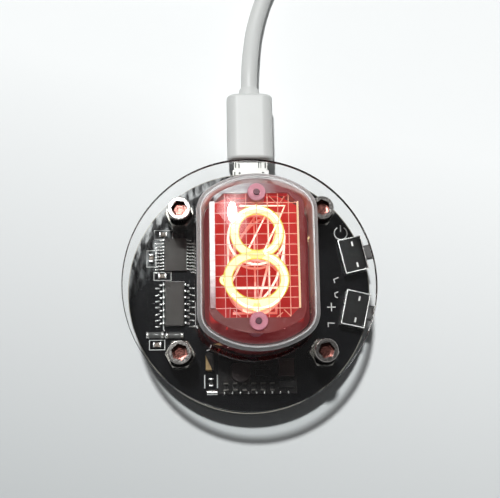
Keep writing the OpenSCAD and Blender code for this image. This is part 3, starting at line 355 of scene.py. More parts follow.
class Signal:
    # a shader socket whose arithmetic adds Math nodes
    def __init__(self, tree, socket):
        self.tree = tree
        self.socket = socket

    def work(self, operation, first, second=None):
        node = self.tree.nodes.new("ShaderNodeMath")
        node.operation = operation
        for value, slot in zip((first, second), node.inputs):
            if isinstance(value, Signal):
                self.tree.links.new(value.socket, slot)
            elif value is not None:
                slot.default_value = value
        return Signal(self.tree, node.outputs[0])

    def __add__(self, other):
        return self.work("ADD", self, other)

    def __radd__(self, other):
        return self.work("ADD", other, self)

    def __sub__(self, other):
        return self.work("SUBTRACT", self, other)

    def __rsub__(self, other):
        return self.work("SUBTRACT", other, self)

    def __mul__(self, other):
        return self.work("MULTIPLY", self, other)

    def __rmul__(self, other):
        return self.work("MULTIPLY", other, self)

    def __truediv__(self, other):
        return self.work("DIVIDE", self, other)

    def __pow__(self, other):
        return self.work("POWER", self, other)

    def above(self, edge):
        return self.work("GREATER_THAN", self, edge)

    def below(self, edge):
        return self.work("LESS_THAN", self, edge)

    def lower(self, other):
        return self.work("MINIMUM", self, other)

    def higher(self, other):
        return self.work("MAXIMUM", self, other)

    def magnitude(self):
        return self.work("ABSOLUTE", self)

    def clamped(self):
        return self.higher(0).lower(1)

    def ramp(self, start, end):
        # 0 up to start and 1 from end
        return ((self - start) / (end - start)).clamped()


class Nodes:
    # one node tree, in which make adds every node but the Math nodes
    def __init__(self, tree, output):
        self.tree = tree
        self.output = tree.nodes[output]

    def make(self, kind, settings, sockets, output=0):
        node = self.tree.nodes.new(kind)
        for key, value in settings.items():
            setattr(node, key, value)
        for key, value in sockets.items():
            if isinstance(value, Signal):
                self.tree.links.new(value.socket, node.inputs[key])
            else:
                node.inputs[key].default_value = value
        return Signal(self.tree, node.outputs[output])

    def lightPath(self, name):
        return self.make("ShaderNodeLightPath", {}, {}, name)

    def mixed(self, share, first, second):
        return self.make("ShaderNodeMixShader", {}, {0: share, 1: first, 2: second})

    def show(self, surface):
        self.tree.links.new(surface.socket, self.output.inputs["Surface"])


class Finish(Nodes):
    def __init__(self, name, colour, metallic=0.0, roughness=0.5, **extras):
        self.material = bpy.data.materials.new(name)
        self.material.use_nodes = True
        super().__init__(self.material.node_tree, "Material Output")
        self.shader = self.tree.nodes["Principled BSDF"]
        self.body = Signal(self.tree, self.shader.outputs[0])
        fixed = {"Base Color": (*colour, 1), "Metallic": metallic, "Roughness": roughness, **extras}
        for key, value in fixed.items():
            self.shader.inputs[key.replace("_", " ")].default_value = value
        self.place = self.make("ShaderNodeTexCoord", {}, {}, "Object")

    def noise(self, grain, detail=3.0, place=None):
        # grain is the size of a speck in millimetres
        sockets = {"Vector": place or self.place, "Scale": 1 / (grain * mm), "Detail": detail, "Roughness": 0.55}
        return self.make("ShaderNodeTexNoise", {}, sockets)

    def stretched(self, x, y, z):
        return self.make("ShaderNodeMapping", {}, {"Vector": self.place, "Scale": (x, y, z)})

    def axis(self, name):
        # the place along an axis, in millimetres
        return self.make("ShaderNodeSeparateXYZ", {}, {"Vector": self.place}, name) / mm

    def around(self, x0, y0, across=1, along=1):
        # distance from an upright line, in millimetres or in the radii across and along
        x, y = (self.axis("X") - x0) / across, (self.axis("Y") - y0) / along
        return (x * x + y * y) ** 0.5

    def blend(self, share, first, second):
        first, second = (value if isinstance(value, Signal) else (*value, 1) for value in (first, second))
        return self.make("ShaderNodeMix", {"data_type": "RGBA"}, {0: share, 6: first, 7: second}, 2)

    def feed(self, name, signal):
        self.tree.links.new(signal.socket, self.shader.inputs[name])

    def roughen(self, grit, middle, spread):
        self.feed("Roughness", grit * spread + (middle - spread / 2))

    def relief(self, height, depth, strength=1.0):
        # depth is the height of the relief in millimetres
        sockets = {"Height": height, "Distance": depth * mm, "Strength": strength}
        self.feed("Normal", self.make("ShaderNodeBump", {}, sockets, "Normal"))

    def seeThrough(self, colour):
        return self.make("ShaderNodeBsdfTransparent", {}, {"Color": (*colour, 1)})

    def letsLampsThrough(self, tint, paintedSheen, rim):
        # light for other surfaces passes straight through a clear piece, dimmed by its tint, and more at its rim;
        # a painted sheen, a grey diffuse film, greys the walls seen edge on, standing for the light the glass bends and
        # reflects there
        body, clear = self.body, self.seeThrough(tint)
        if paintedSheen:
            facing = self.make("ShaderNodeLayerWeight", {}, {"Blend": 0.5}, "Facing")
            film = self.make("ShaderNodeBsdfDiffuse", {}, {"Color": (*paintedSheen["colour"], 1)})
            shown = self.axis("Y").ramp(*paintedSheen["farWall"]).higher(self.axis("Z").ramp(*paintedSheen["shoulder"]))
            body = self.mixed(facing.ramp(*paintedSheen["facing"]) * shown * paintedSheen["share"], body, film)
        if rim:
            clear = self.mixed(self.around(*rim["centre"]).ramp(*rim["radii"]), clear, self.seeThrough(rim["tint"]))
        passing = self.lightPath("Is Shadow Ray").higher(self.lightPath("Diffuse Depth").above(0.5))
        self.show(self.mixed(passing, body, clear))


def shade(colour, factor):
    return [min(1, c * factor) for c in colour]


def metalFinish(name, colour, roughness=0.25, grain=0.25, depth=0.002, streak=(1, 1, 1)):
    finish = Finish(name, colour, metallic=1.0, roughness=roughness)
    grit = finish.noise(grain, place=finish.stretched(*streak))
    finish.roughen(grit, roughness, 0.22)
    finish.feed("Base Color", finish.blend(grit, shade(colour, 0.82), colour))
    finish.relief(grit, depth)
    return finish


def mouldedFinish(name, colour, roughness=0.5, grain=0.12, depth=0.006, contrast=0.25, specular=0.5):
    finish = Finish(name, colour, roughness=roughness, Specular_IOR_Level=specular)
    grit = finish.noise(grain)
    broad = finish.noise(grain * 12, detail=1)
    dark, light = shade(colour, 1 - contrast), shade(colour, 1 + contrast)
    finish.feed("Base Color", finish.blend((grit + broad) * 0.5, dark, light))
    finish.roughen(grit, roughness, 0.16)
    finish.relief(grit, depth)
    return finish


def clearFinish(name, colour, index, tint, grain=1.5, depth=0.0006, roughness=0.0, paintedSheen=None, rim=None):
    finish = Finish(name, colour, roughness=roughness, Transmission_Weight=1.0, IOR=index)
    finish.relief(finish.noise(grain, detail=1), depth)
    finish.letsLampsThrough((tint, tint, tint) if isinstance(tint, float) else tint, paintedSheen, rim)
    return finish


def glowFinish(name, colour, strength, clear):
    # clear is the share of what lies behind that shows through
    finish = Finish(name, (0, 0, 0), roughness=1.0, Emission_Strength=strength)
    finish.feed("Emission Color", finish.blend(finish.noise(0.9, detail=1), shade(colour, 0.9), colour))
    if clear:
        finish.show(finish.mixed(clear, finish.body, finish.seeThrough((1, 1, 1))))
    return finish


boardLook = {
    "mask": (0.006, 0.006, 0.007), "paintedGlare": (0.16, 0.175, 0.175), "paintedGlareFrom": (21, 28), "paintedGlareTone": (0.42, 0.67),
    "cutEdge": (0.42, 0.40, 0.34), "cutRadii": (23.82, 23.90),
}


def boardFinish(look):
    # black mask, with pale streaks towards the north-west as a painted glare of the lamp, and a pale cut edge
    finish = Finish("boardFinish", (0.008, 0.008, 0.009), roughness=0.16, Specular_IOR_Level=0.3)
    weave = finish.noise(0.5, detail=2)
    smear = finish.noise(1.6, detail=4, place=finish.stretched(1.3, 0.45, 1))
    # painted glare: pale streaks where the lamp's reflection falls on the mask
    paintedGlare = smear.ramp(*look["paintedGlareTone"]) * (finish.axis("Y") - finish.axis("X")).ramp(*look["paintedGlareFrom"])
    mask = finish.blend(paintedGlare, look["mask"], look["paintedGlare"])
    finish.feed("Base Color", finish.blend(finish.around(0, boardY).ramp(*look["cutRadii"]), mask, look["cutEdge"]))
    finish.feed("Roughness", weave * 0.03 + smear * 0.06 + 0.05 + paintedGlare * 0.2)
    finish.relief(weave, 0.003)
    return finish


redPlateLook = {  # pairs run from south to north
    "lit": ((0.42, 0.013, 0.012), (0.72, 0.024, 0.018)), "dim": ((0.30, 0.010, 0.011), (0.56, 0.018, 0.014)),
    "outside": (0.09, 0.006, 0.008), "fade": (-12, 14), "south": (-8.8, -8.0), "west": (-8.0, -7.4), "east": (9.2, 8.6),
}


def redPlateFinish(look):
    # steel lit red by the discharge in front of it, dark outside the window
    finish = Finish("redPlateFinish", (0.05, 0.004, 0.004), 0.0, 0.6, Emission_Strength=1.0, Specular_IOR_Level=0.2)
    x, y = finish.axis("X"), finish.axis("Y")
    north = y.ramp(*look["fade"])
    dim, lit = (finish.blend(north, *look[key]) for key in ("dim", "lit"))
    inside = y.ramp(*look["south"]) * x.ramp(*look["west"]) * x.ramp(*look["east"])
    window = finish.blend(finish.noise(3.5, detail=1), dim, lit)
    finish.feed("Emission Color", finish.blend(inside, look["outside"], window))
    finish.relief(finish.noise(0.3), 0.003)
    return finish


frameLook = {  # pairs run from west to east, and the rail's from south to north
    "far": ((0.46, 0.46, 0.47), (0.05, 0.03, 0.034)), "near": ((0.05, 0.02, 0.02), (0.012, 0.003, 0.003)),
    "rail": ((0.30, 0.25, 0.26), (0.95, 0.93, 0.93)), "grit": (0.05, 0.02, 0.02),
    "glowFar": (0.03, 0.018, 0.020), "glowNear": (0.11, 0.022, 0.020), "glowEast": (0.17, 0.008, 0.008),
    "glowLip": (1.0, 0.70, 0.42), "fold": 33.18, "lipFrom": 5,
    "east": (-2, 4), "south": (12.5, 10.5), "railEast": (-6.2, -7.0), "railFade": (-6, -1),
}


def frameFinish(look):
    # nickel sheet with painted light: pale where lit in the north-west, a painted highlight along the left rail,
    # painted shade in dark red where the far edge turns from the lamp and over the southern part, and a painted red
    # glow of the discharge, brightest on the front lip
    finish = Finish("frameMetal", (0.4, 0.4, 0.4), 0.3, Emission_Strength=1.0, Specular_IOR_Level=0.2)
    x, y, z = (finish.axis(name) for name in "XYZ")
    grit = finish.noise(0.6, detail=2, place=finish.stretched(0.4, 1, 1))
    east, south, front = x.ramp(*look["east"]), y.ramp(*look["south"]), z.above(look["fold"])
    # painted light and shade: pale in the lit north-west, darker eastwards and to the south
    plain = finish.blend(south, finish.blend(east, *look["far"]), finish.blend(east, *look["near"]))
    # painted highlight along the left rail, fading towards the south
    rail = finish.blend(y.ramp(*look["railFade"]), *look["rail"])
    sheet = finish.blend(x.ramp(*look["railEast"]) * front, plain, rail)
    finish.feed("Base Color", finish.blend(grit * 0.5, sheet, look["grit"]))
    finish.roughen(grit, 0.52, 0.2)
    # painted glow: emission standing for the discharge's red light on the sheet, brightest on the front lip
    glowing = finish.blend(east, finish.blend(south, look["glowFar"], look["glowNear"]), look["glowEast"])
    finish.feed("Emission Color", finish.blend(front * x.above(look["lipFrom"]), glowing, look["glowLip"]))
    finish.relief(grit, 0.002)
    return finish


def overFigure(finish):
    # how far a point lies over the strokes of the lit figure, 0 to 1
    x0, y0 = stack["centre"]
    upper, lower = (((finish.around(x0 + cx, y0 + cy, rx, ry) - 1) * ((rx + ry) / 2)).magnitude()
                    for (cx, cy), (rx, ry) in figureLoops(glow))
    return upper.lower(lower).ramp(glow["sheathRadius"] + 0.1, glow["sheathRadius"] - 0.2)


def meshFinish():
    finish = Finish("meshWire", (0.26, 0.13, 0.12), metallic=0.2, roughness=0.5, Emission_Strength=1.0)
    # painted glow: the wire's emission stands for the discharge's red light, more orange to the east and yellow where
    # it lies over the lit figure
    plain = finish.blend(finish.axis("X").ramp(-4, 5), (0.50, 0.19, 0.17), (0.60, 0.22, 0.12))
    finish.feed("Emission Color", finish.blend(overFigure(finish), plain, (0.42, 0.36, 0.03)))
    finish.relief(finish.noise(0.4), 0.002)
    return finish


def electrodeFinish(name, colour, shine, strength=1.0, roughness=0.35, reach=None):
    # the emission is a painted glow of the discharge's red light on the metal; reach is the half height of the lit
    # part; past it the sheet stays dark red, with a dim painted glow
    finish = Finish(name, colour, metallic=0.5, roughness=roughness, Emission_Strength=strength)
    grit = finish.noise(0.4)
    finish.roughen(grit, roughness, 0.2)
    emitted = finish.blend(grit, shade(shine, 0.8), shine)
    if reach:
        beyond = (finish.axis("Y") - stack["centre"][1]).magnitude().above(reach)
        emitted = finish.blend(beyond, emitted, (0.34, 0.014, 0.014))
        finish.feed("Base Color", finish.blend(beyond, colour, (0.08, 0.01, 0.01)))
    finish.feed("Emission Color", emitted)
    finish.relief(grit, 0.002)
    return finish


def tantalumFinish():
    # golden moulding, with a painted shadow of the tube darkening one corner
    finish = Finish("tantalumAmber", (0.42, 0.27, 0.12), roughness=0.5, Specular_IOR_Level=0.1)
    dark = ((finish.axis("X") + 8.3) * 2.3 + finish.axis("Y") + 14.6 + finish.noise(0.5) * 0.4).above(0.3)
    grit = finish.noise(0.25)
    gold = finish.blend(grit, (0.30, 0.20, 0.09), (0.48, 0.33, 0.16))
    finish.feed("Base Color", finish.blend(dark, gold, (0.008, 0.006, 0.005)))
    finish.relief(grit, 0.005)
    return finish


def diodeFinish(middles=(-18.6, -14.8), halfLength=1.18):
    # grey glass with tinned ends
    finish = Finish("diodeGrey", (0.12, 0.12, 0.115), roughness=0.2)
    first, second = ((finish.axis("X") - middle).magnitude() for middle in middles)
    end = first.lower(second).above(halfLength)
    grit = finish.noise(0.3)
    glass = finish.blend(grit, (0.07, 0.07, 0.068), (0.17, 0.17, 0.165))
    finish.feed("Base Color", finish.blend(end, glass, (0.75, 0.74, 0.72)))
    finish.feed("Metallic", end)
    finish.relief(grit, 0.002)
    return finish


plateShade = {"centre": (-0.25, -0.3), "radii": (23.0, 23.4), "tint": (0.45, 0.45, 0.45)}
# painted sheen: a grey film on the glass walls seen edge on, on the far wall and the shoulder
tubePaintedSheen = {
    "colour": (0.68, 0.645, 0.64), "share": 0.5, "facing": (0.12, 0.82), "farWall": (-9, -3), "shoulder": (32.5, 33.5),
}
# painted glow: each sheet's colour and emission stand for the discharge's light on it, brighter on the sheets nearer
# the front
cathodeTones = [  # finish, sheet, light of the sheet, strength, roughness
    ("farCathode", (0.4, 0.2, 0.18), (0.66, 0.12, 0.09), 1.0, 0.5),
    ("cathode", (0.5, 0.3, 0.28), (0.80, 0.27, 0.20), 1.0, 0.5),
    ("nearCathode", (0.6, 0.42, 0.38), (0.92, 0.44, 0.30), 1.0, 0.5),
    ("frontCathode", (0.7, 0.6, 0.5), (1.0, 0.76, 0.52), 1.0, 0.35),
    ("litCathode", (0.9, 0.7, 0.3), (1.0, 0.85, 0.20), 1.1, 0.35),
]


def buildFinishes():
    made = {
        "plateClear": clearFinish("plateClear", (0.985, 0.992, 0.99), 1.49, (0.88, 0.89, 0.89), rim=plateShade),
        # painted shade: the rim's glass is tinted near black for the dark outline of the acrylic's edge
        "plateRim": clearFinish("plateRim", (0.07, 0.075, 0.078), 1.49, 0.10, grain=0.5, depth=0.01, roughness=0.06),
        "tubeClear": clearFinish("tubeClear", (0.985, 0.985, 0.98), 1.5, 0.78, paintedSheen=tubePaintedSheen),
        "stemClear": clearFinish("stemClear", (0.80, 0.88, 0.86), 1.5, 0.7),
        "board": boardFinish(boardLook),
        "silk": mouldedFinish("silkWhite", (0.93, 0.93, 0.91), 0.6, depth=0.003, contrast=0.06),
        "solder": metalFinish("solderTin", (0.86, 0.86, 0.84), 0.22, 0.2, 0.003),
        "tinned": metalFinish("tinnedLeads", (0.80, 0.79, 0.77), 0.24, 0.15, 0.002),
        "steel": metalFinish("screwSteel", (0.33, 0.31, 0.295), 0.15, 0.3, 0.002),
        # painted shade and painted reflection: the sockets' dark red-brown stands for the shaded recess reflecting the
        # tube's red glow
        "socket": metalFinish("socketPaintedShadeAndGlow", (0.09, 0.036, 0.030), 0.2, 0.35, 0.02),
        "nickel": metalFinish("standoffNickel", (0.36, 0.34, 0.31), 0.20, 0.3, 0.002, (1, 1, 0.2)),
        "gilt": metalFinish("giltContacts", (0.86, 0.66, 0.33), 0.25, 0.2, 0.002),
        "shellMetal": metalFinish("platedShell", (0.36, 0.355, 0.34), 0.5, 0.4, 0.0015),
        "slotDark": mouldedFinish("slotShade", (0.035, 0.034, 0.032), 0.6, depth=0.002),
        # painted shade: a darkened copy of the solder, for joints lying in shade
        "paintedShadeSolder": metalFinish("paintedShadeSolder", (0.07, 0.065, 0.06), 0.4, 0.3, 0.01),
        "switchFrame": metalFinish("switchFrame", (0.80, 0.79, 0.77), 0.25, 0.2, 0.002),
        "chip": mouldedFinish("chipMoulding", (0.052, 0.047, 0.043), 0.6, 0.16, 0.01, specular=0.2),
        "darkChip": mouldedFinish("smallMoulding", (0.008, 0.007, 0.007), 0.45, specular=0.1),
        "switchBlack": mouldedFinish("switchBlack", (0.008, 0.0075, 0.0075), 0.3, 0.35, 0.012, 0.6, 0.1),
        "button": mouldedFinish("buttonBrown", (0.035, 0.030, 0.029), 0.45, 0.1, 0.005),
        "tan": mouldedFinish("ceramicTan", (0.17, 0.13, 0.10), depth=0.004),
        "darkTan": mouldedFinish("ceramicBrown", (0.030, 0.014, 0.012), 0.4, depth=0.004, specular=0.2),
        "amber": tantalumFinish(),
        "grey": diodeFinish(),
        "ferrite": mouldedFinish("inductorFerrite", (0.018, 0.009, 0.009), 0.45, depth=0.01, specular=0.2),
        "supply": mouldedFinish("supplyMask", (0.010, 0.008, 0.008), 0.2, depth=0.003, specular=0.3),
        "pinkCeramic": mouldedFinish("pinkCeramic", (0.66, 0.18, 0.26), 0.4, 0.2, contrast=0.12),
        "lead": mouldedFinish("leadPlastic", (0.66, 0.67, 0.655), 0.46, 0.35, 0.004, 0.03),
        "plugWhite": mouldedFinish("tongueWhite", (0.86, 0.86, 0.84), 0.4, contrast=0.04),
        "redPlate": redPlateFinish(redPlateLook),
        "frame": frameFinish(frameLook),
        "mesh": meshFinish(),
        "rod": electrodeFinish("rodMetal", (0.04, 0.01, 0.016), (0.03, 0.003, 0.008), roughness=0.3),
        "wire": electrodeFinish("wireMetal", (0.10, 0.02, 0.02), (0.42, 0.02, 0.018)),
        "glowCore": glowFinish("glowCore", (1.0, 1.0, 0.84), 2.0, 0),
        "glowSheath": glowFinish("glowSheath", (1.0, 0.84, 0.08), 1.1, 0.45),
    }
    for key, colour, shine, strength, roughness in cathodeTones:
        made[key] = electrodeFinish(key + "Sheet", colour, shine, strength, roughness, stack["litReach"])
    return {key: finish.material for key, finish in made.items()}


finishes = buildFinishes()


def wear(piece, *keys):
    piece.data.materials.clear()
    for key in keys:
        piece.data.materials.append(finishes[key])


def paintNode(node, finish):
    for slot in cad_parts[node].material_slots:
        slot.material = finishes[finish]


def install(piece, finish, replaced=(), body="clock"):
    if finish:
        wear(piece, finish)
    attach(piece, body)
    if replaced:
        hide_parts(*replaced)
    return piece


print("stage: finishes")


def tubeOutline(spec, inset):
    cornerX = spec["width"] / 2 - spec["cornerRadius"]
    endY = spec["length"] / 2 - spec["endRadius"]
    cornerY = endY + math.sqrt((spec["endRadius"] - spec["cornerRadius"]) ** 2 - cornerX ** 2)
    turn = math.atan2(cornerY - endY, cornerX)
    quarter = []
    for i in range(spec["cornerSteps"]):
        a = turn * i / spec["cornerSteps"]
        reach = spec["cornerRadius"] - inset
        quarter.append((cornerX + reach * math.cos(a), cornerY + reach * math.sin(a)))
    for i in range(spec["endSteps"]):
        a = turn + (math.pi / 2 - turn) * i / spec["endSteps"]
        reach = spec["endRadius"] - inset
        quarter.append((reach * math.cos(a), endY + reach * math.sin(a)))
    north = quarter + [(0, spec["length"] / 2 - inset)] + [(-x, y) for x, y in reversed(quarter)]
    return north + [(-x, -y) for x, y in north]


def glassRings(spec, wall):
    # rings from the foot up over the edge to the middle of the top, wall millimetres inside the outer skin
    x0, y0 = spec["centre"]
    acrossFall, alongFall = spec["crown"]
    bottom, shoulder = spec["bottom"], spec["top"] - spec["edge"]
    rings = []

    def addRing(outline, z, crown=0):
        rings.append([(x0 + x, y0 + y, z - crown * (acrossFall * x * x + alongFall * y * y)) for x, y in outline])

    levels = [(0, bottom + spec["foot"])]
    if not wall:
        foot = spec["footRound"]
        levels = [(foot, bottom), (foot * 0.3, bottom + foot * 0.3), (0, bottom + foot)]
    for inset, z in levels + [(0, (bottom + spec["top"]) / 2), (0, shoulder)]:
        addRing(tubeOutline(spec, inset + wall), z)
    bend = spec["edge"] - wall
    for step in range(1, spec["edgeSteps"] + 1):
        a = math.pi / 2 * step / spec["edgeSteps"]
        addRing(tubeOutline(spec, spec["edge"] - bend * math.cos(a)), shoulder + bend * math.sin(a), math.sin(a) ** 2)
    for share in spec["crownShares"]:
        addRing([(x * share, y * share) for x, y in tubeOutline(spec, spec["edge"])], spec["top"] - wall, 1)
    return rings


def loft(name, rings):
    # an edge loop extruded from ring to ring
    count = len(rings[0])
    deselect()
    bpy.ops.mesh.primitive_circle_add(vertices=count, radius=1, fill_type="NOTHING")
    piece = newest(name)
    for vertex, place in zip(piece.data.vertices, rings[0]):
        vertex.co = Vector(place) * mm
    for last, ring in zip(rings, rings[1:]):
        editing(True)
        bpy.ops.mesh.extrude_region_move()
        editing(False)
        fresh = [vertex for vertex in piece.data.vertices if vertex.select]
        for vertex in fresh:
            nearest = min(range(count), key=lambda i: (vertex.co / mm - Vector(last[i])).length_squared)
            vertex.co = Vector(ring[nearest]) * mm
    editing(True)
    bpy.ops.mesh.edge_face_add()
    editing(False)
    return piece


backPlate = {"bottom": 23.1, "top": 23.4, "inset": 1.0, "edge": 0.04, "lip": 0.1}


def makeBackPlate(spec, glass):
    x0, y0 = glass["centre"]
    bottom, top, inset, edge = (spec[key] for key in ("bottom", "top", "inset", "edge"))
    levels = [(inset + spec["lip"], bottom), (inset, bottom), (inset, top - edge), (inset + edge, top)]
    piece = loft("backPlate", [[(x0 + x, y0 + y, z) for x, y in tubeOutline(glass, away)] for away, z in levels])
    openWhole(piece)
    bpy.ops.mesh.fill_holes(sides=0)
    return smoothBy(faceOutwards(piece), 30)


def makeGlass(spec):
    outer = loft("tubeEnvelope", glassRings(spec, 0))
    inner = loft("tubeEnvelopeInner", glassRings(spec, spec["wall"]))
    piece = joined("tubeEnvelope", [outer, inner])
    # the two skins meet at the foot
    ends = (spec["bottom"], spec["bottom"] + spec["foot"])
    pickEdges(piece, lambda a, b: any(abs(a.z - end) < 0.01 and abs(b.z - end) < 0.01 for end in ends))
    bpy.ops.mesh.bridge_edge_loops()
    return smoothBy(faceOutwards(piece), 60)


install(makeGlass(tube), "tubeClear", ["tube_glass"])


def glowTube(name, radius, spec):
    x0, y0 = stack["centre"]
    loops = figureLoops(spec)
    (cx, cy), (rx, ry) = loops[1]
    lines = [arcStroke(*centre, *radii, 0, 360, spec["steps"]) for centre, radii in loops]
    # a bulge at the lower loop's left and a neck down to the terminal
    lines += [arcStroke(cx - rx, cy - 0.15, *spec["bulge"]), [(cx, cy - ry), (cx, cy - ry - spec["neck"])]]
    lines = [[(x0 + x, y0 + y, 0) for x, y in line] for line in lines]
    piece = newCurve(name, lines, bevel_depth=radius * mm, bevel_resolution=5, use_fill_caps=True)
    for point in piece.data.splines[2].points:
        point.radius = spec["bulgeThickness"]
    hold(piece)
    bpy.ops.object.convert(target="MESH")
    # the discharge hugs its sheet, so it is flatter than it is wide
    flat = Matrix.Diagonal((1, 1, spec["squash"], 1))
    piece.data.transform(Matrix.Translation((0, 0, stack["litLayer"] * mm)) @ flat)
    return smoothBy(piece, 60)


install(glowTube("glowCore", glow["coreRadius"], glow), "glowCore")
install(glowTube("glowSheath", glow["sheathRadius"], glow), "glowSheath")

digitFinishes = {
    3: "frontCathode", 8: "litCathode", 9: "nearCathode", 4: "nearCathode", 0: "cathode", 5: "cathode", 7: "cathode",
}
for digit in range(10):
    paintNode(f"cathode_{digit}", digitFinishes.get(digit, "farCathode"))
paintNode("anode_mesh", "mesh")
frontStroke = [(-2.6, 11.6), (5.4, 11.6), (4.1, 8.6), (2.6, 5.6), (1.5, 3.2)]
install(ribbons("frontFigureEdge", [frontStroke], 0.34, 32.28, 0.12), "frontCathode")
# the mesh is tied to its frame by short wires at the corners
cornerTies = [
    [(2.6, 13.3), (4.2, 11.6), (5.3, 13.2)], [(2.3, 13.1), (2.3, 11.2)], [(-4.9, 13.2), (-3.6, 12.0)],
    [(-4.5, -6.6), (-4.6, -8.8), (-2.7, -8.5)], [(-3.9, -7.1), (-2.7, -8.2)], [(2.5, -9.2), (4.6, -7.5)],
    [(4.8, -7.0), (6.3, -8.5)], [(3.8, -8.5), (6.0, -8.8)],
]
install(ribbons("cornerTies", cornerTies, 0.16, 32.72, 0.08), "mesh")
install(dressed("anode_frame", "windowFrame"), "frame", ["anode_frame"])
install(makeBackPlate(backPlate, tube), "redPlate", ["back_plate"])
install(dressed("ceramic_spacers", "spacerRings", 0.15, 3), "pinkCeramic", ["ceramic_spacers"])
nodeFinishes = [
    ("support_rods", "rod"), ("lead_wires", "wire"), ("getter", "rod"), ("tube_stem", "stemClear"),
    ("tube_pins", "tinned"), ("pin_sockets", "gilt"),
]
for node, finish in nodeFinishes:
    paintNode(node, finish)
print("stage: tube")


def makePlate():
    # clear on its two faces, darker round its rim, where the tint is painted shade for the edge's dark outline
    piece = dressed("top_plate", "coverPlate", 0.42, 3, smooth=30)
    wear(piece, "plateClear", "plateRim")
    for face in piece.data.polygons:
        face.material_index = 0 if abs(face.normal.z) > 0.95 else 1
    return piece


install(makePlate(), None, ["top_plate"])
install(dressed("circuit_board", "clockBoard", 0.08), "board", ["circuit_board"])

screw = {
    "pitch": 27.2, "plateTop": 18.1, "radius": 2.25, "height": 2.5, "chamfer": 0.18, "ridges": 36, "cut": 0.07,
    "shank": 1.22, "shankLength": 6.0, "socketAcross": 3.15, "socketDepth": 1.4, "pointInset": 0.45, "pointDepth": 0.25,
    "turns": {(-1, -1): 12, (1, -1): 40, (-1, 1): 25, (1, 1): 3},
}


def makeScrew(spec):
    # modelled at the origin, standing on z = 0
    radius, shank, rim = spec["radius"], spec["shank"], spec["radius"] - spec["chamfer"]
    body = spec["height"] - spec["chamfer"]
    head = addRod("screwHead", (0, 0, body / 2), radius, body, spec["ridges"] * 2)
    for i, vertex in enumerate(sorted(head.data.vertices, key=lambda v: math.atan2(v.co.y, v.co.x))):
        if (i // 2) % 2:
            vertex.co.xy *= 1 - spec["cut"] / radius
    pickFaces(head, lambda centre, normal: normal.z > 0.9)
    extrudeUp(spec["chamfer"])
    bpy.ops.transform.resize(value=(rim / radius, rim / radius, 1))
    pickFaces(head, lambda centre, normal: normal.z < -0.9)
    bpy.ops.mesh.inset(thickness=(radius - shank) * mm)
    extrudeUp(-spec["shankLength"])
    editing(False)
    # the ribs leave the shank and the top's edge round
    for vertex in head.data.vertices:
        across, z = vertex.co.xy.length / mm, vertex.co.z / mm
        inner = across < 1.5 * shank
        if inner or z < -0.001 or z > spec["height"] - 0.01:
            vertex.co.xy *= (shank if inner else rim) / across
    depth = spec["socketDepth"] + 1  # the cutter stands 1 mm out of the head
    cutter = addRod("socketCutter", (0, 0, spec["height"] + 1 - depth / 2), spec["socketAcross"] / 2, depth, 6)
    pickFaces(cutter, lambda centre, normal: normal.z < -0.9)
    bpy.ops.mesh.inset(thickness=spec["pointInset"] * mm)
    extrudeUp(-spec["pointDepth"])
    editing(False)
    finishWith(head, "BOOLEAN", operation="DIFFERENCE", object=cutter, solver="EXACT")
    bpy.data.objects.remove(cutter)
    return flatten(smoothBy(bevelled(head, 0.05), 30))


def placeScrews(spec):
    half = spec["pitch"] / 2
    places = [(x * half, y * half, spec["plateTop"], turn) for (x, y), turn in spec["turns"].items()]
    screws = copies(makeScrew(spec), places)
    piece = joined("capScrews", screws)
    wear(piece, "steel", "socket")
    # the socket's faces, a little inside its edges
    low, high, inner = spec["plateTop"] + 0.5, spec["plateTop"] + spec["height"] - 0.06, spec["socketAcross"] / 2 - 0.02
    for face in piece.data.polygons:
        x, y, z = face.center / mm
        across = math.hypot(abs(x) - half, abs(y) - half)
        face.material_index = 1 if low < z < high and across < inner else 0
    return piece


install(placeScrews(screw), None, ["cap_screws"])
install(dressed("upper_standoffs", "upperPosts", 0.06), "nickel", ["upper_standoffs"])
install(dressed("foot_standoffs", "footPosts", 0.06), "nickel", ["foot_standoffs"])
print("stage: plate, board and screws")

simpleParts = [  # node, piece, bevel, finish, record slot
    ("controller_chip", "controllerChip", 0.06, "chip", "chip_moulding"),
    ("driver_chip", "driverChip", 0.08, "chip", "chip_moulding"),
    ("controller_leads", "controllerLeads", 0.03, "tinned", "tinned_metal"),
    ("driver_leads", "driverLeads", 0.04, "tinned", "tinned_metal"),
    ("tantalum_capacitor", "tantalumCapacitor", 0.05, "amber", "amber_moulding"),
    ("high_voltage_capacitor", "reservoirCapacitor", 0.08, "darkTan", "tan_ceramic"),
    ("boost_inductor", "boostInductor", 0.08, "ferrite", "ferrite"),
    ("supply_board", "supplyBoard", 0.05, "supply", "board_laminate"),
    ("boost_chip", "boostChip", 0.03, "darkChip", "chip_moulding"),
    ("boost_transistor", "boostTransistor", 0.03, "darkChip", "chip_moulding"),
    ("cathode_transistors", "cathodeTransistors", 0.0, "darkChip", "chip_moulding"),
    ("chip_capacitors", "chipCapacitors", 0.03, "tan", "tan_ceramic"),
    ("chip_resistors", "chipResistors", 0.03, "darkChip", "chip_moulding"),
    ("signal_diodes", "signalDiodes", 0.05, "grey", "grey_moulding"),
    ("usb_socket_shell", "socketShell", 0.08, "shellMetal", "plated_steel"),
    ("micro_plug_shell", "smallPlugShell", 0.05, "shellMetal", "plated_steel"),
    ("power_switch_body", "powerSwitchBody", 0.03, "switchBlack", "chip_moulding"),
    ("plus_switch_body", "plusSwitchBody", 0.03, "switchBlack", "chip_moulding"),
    ("power_switch_frame", "powerSwitchFrame", 0.04, "switchFrame", "plated_steel"),
    ("plus_switch_frame", "plusSwitchFrame", 0.04, "switchFrame", "plated_steel"),
    ("large_plug_shell", "largePlugShell", 0.1, "shellMetal", "plated_steel"),
]
for node, name, bevel, finish, slotName in simpleParts:
    install(dressed(node, name, bevel), finish, [node])
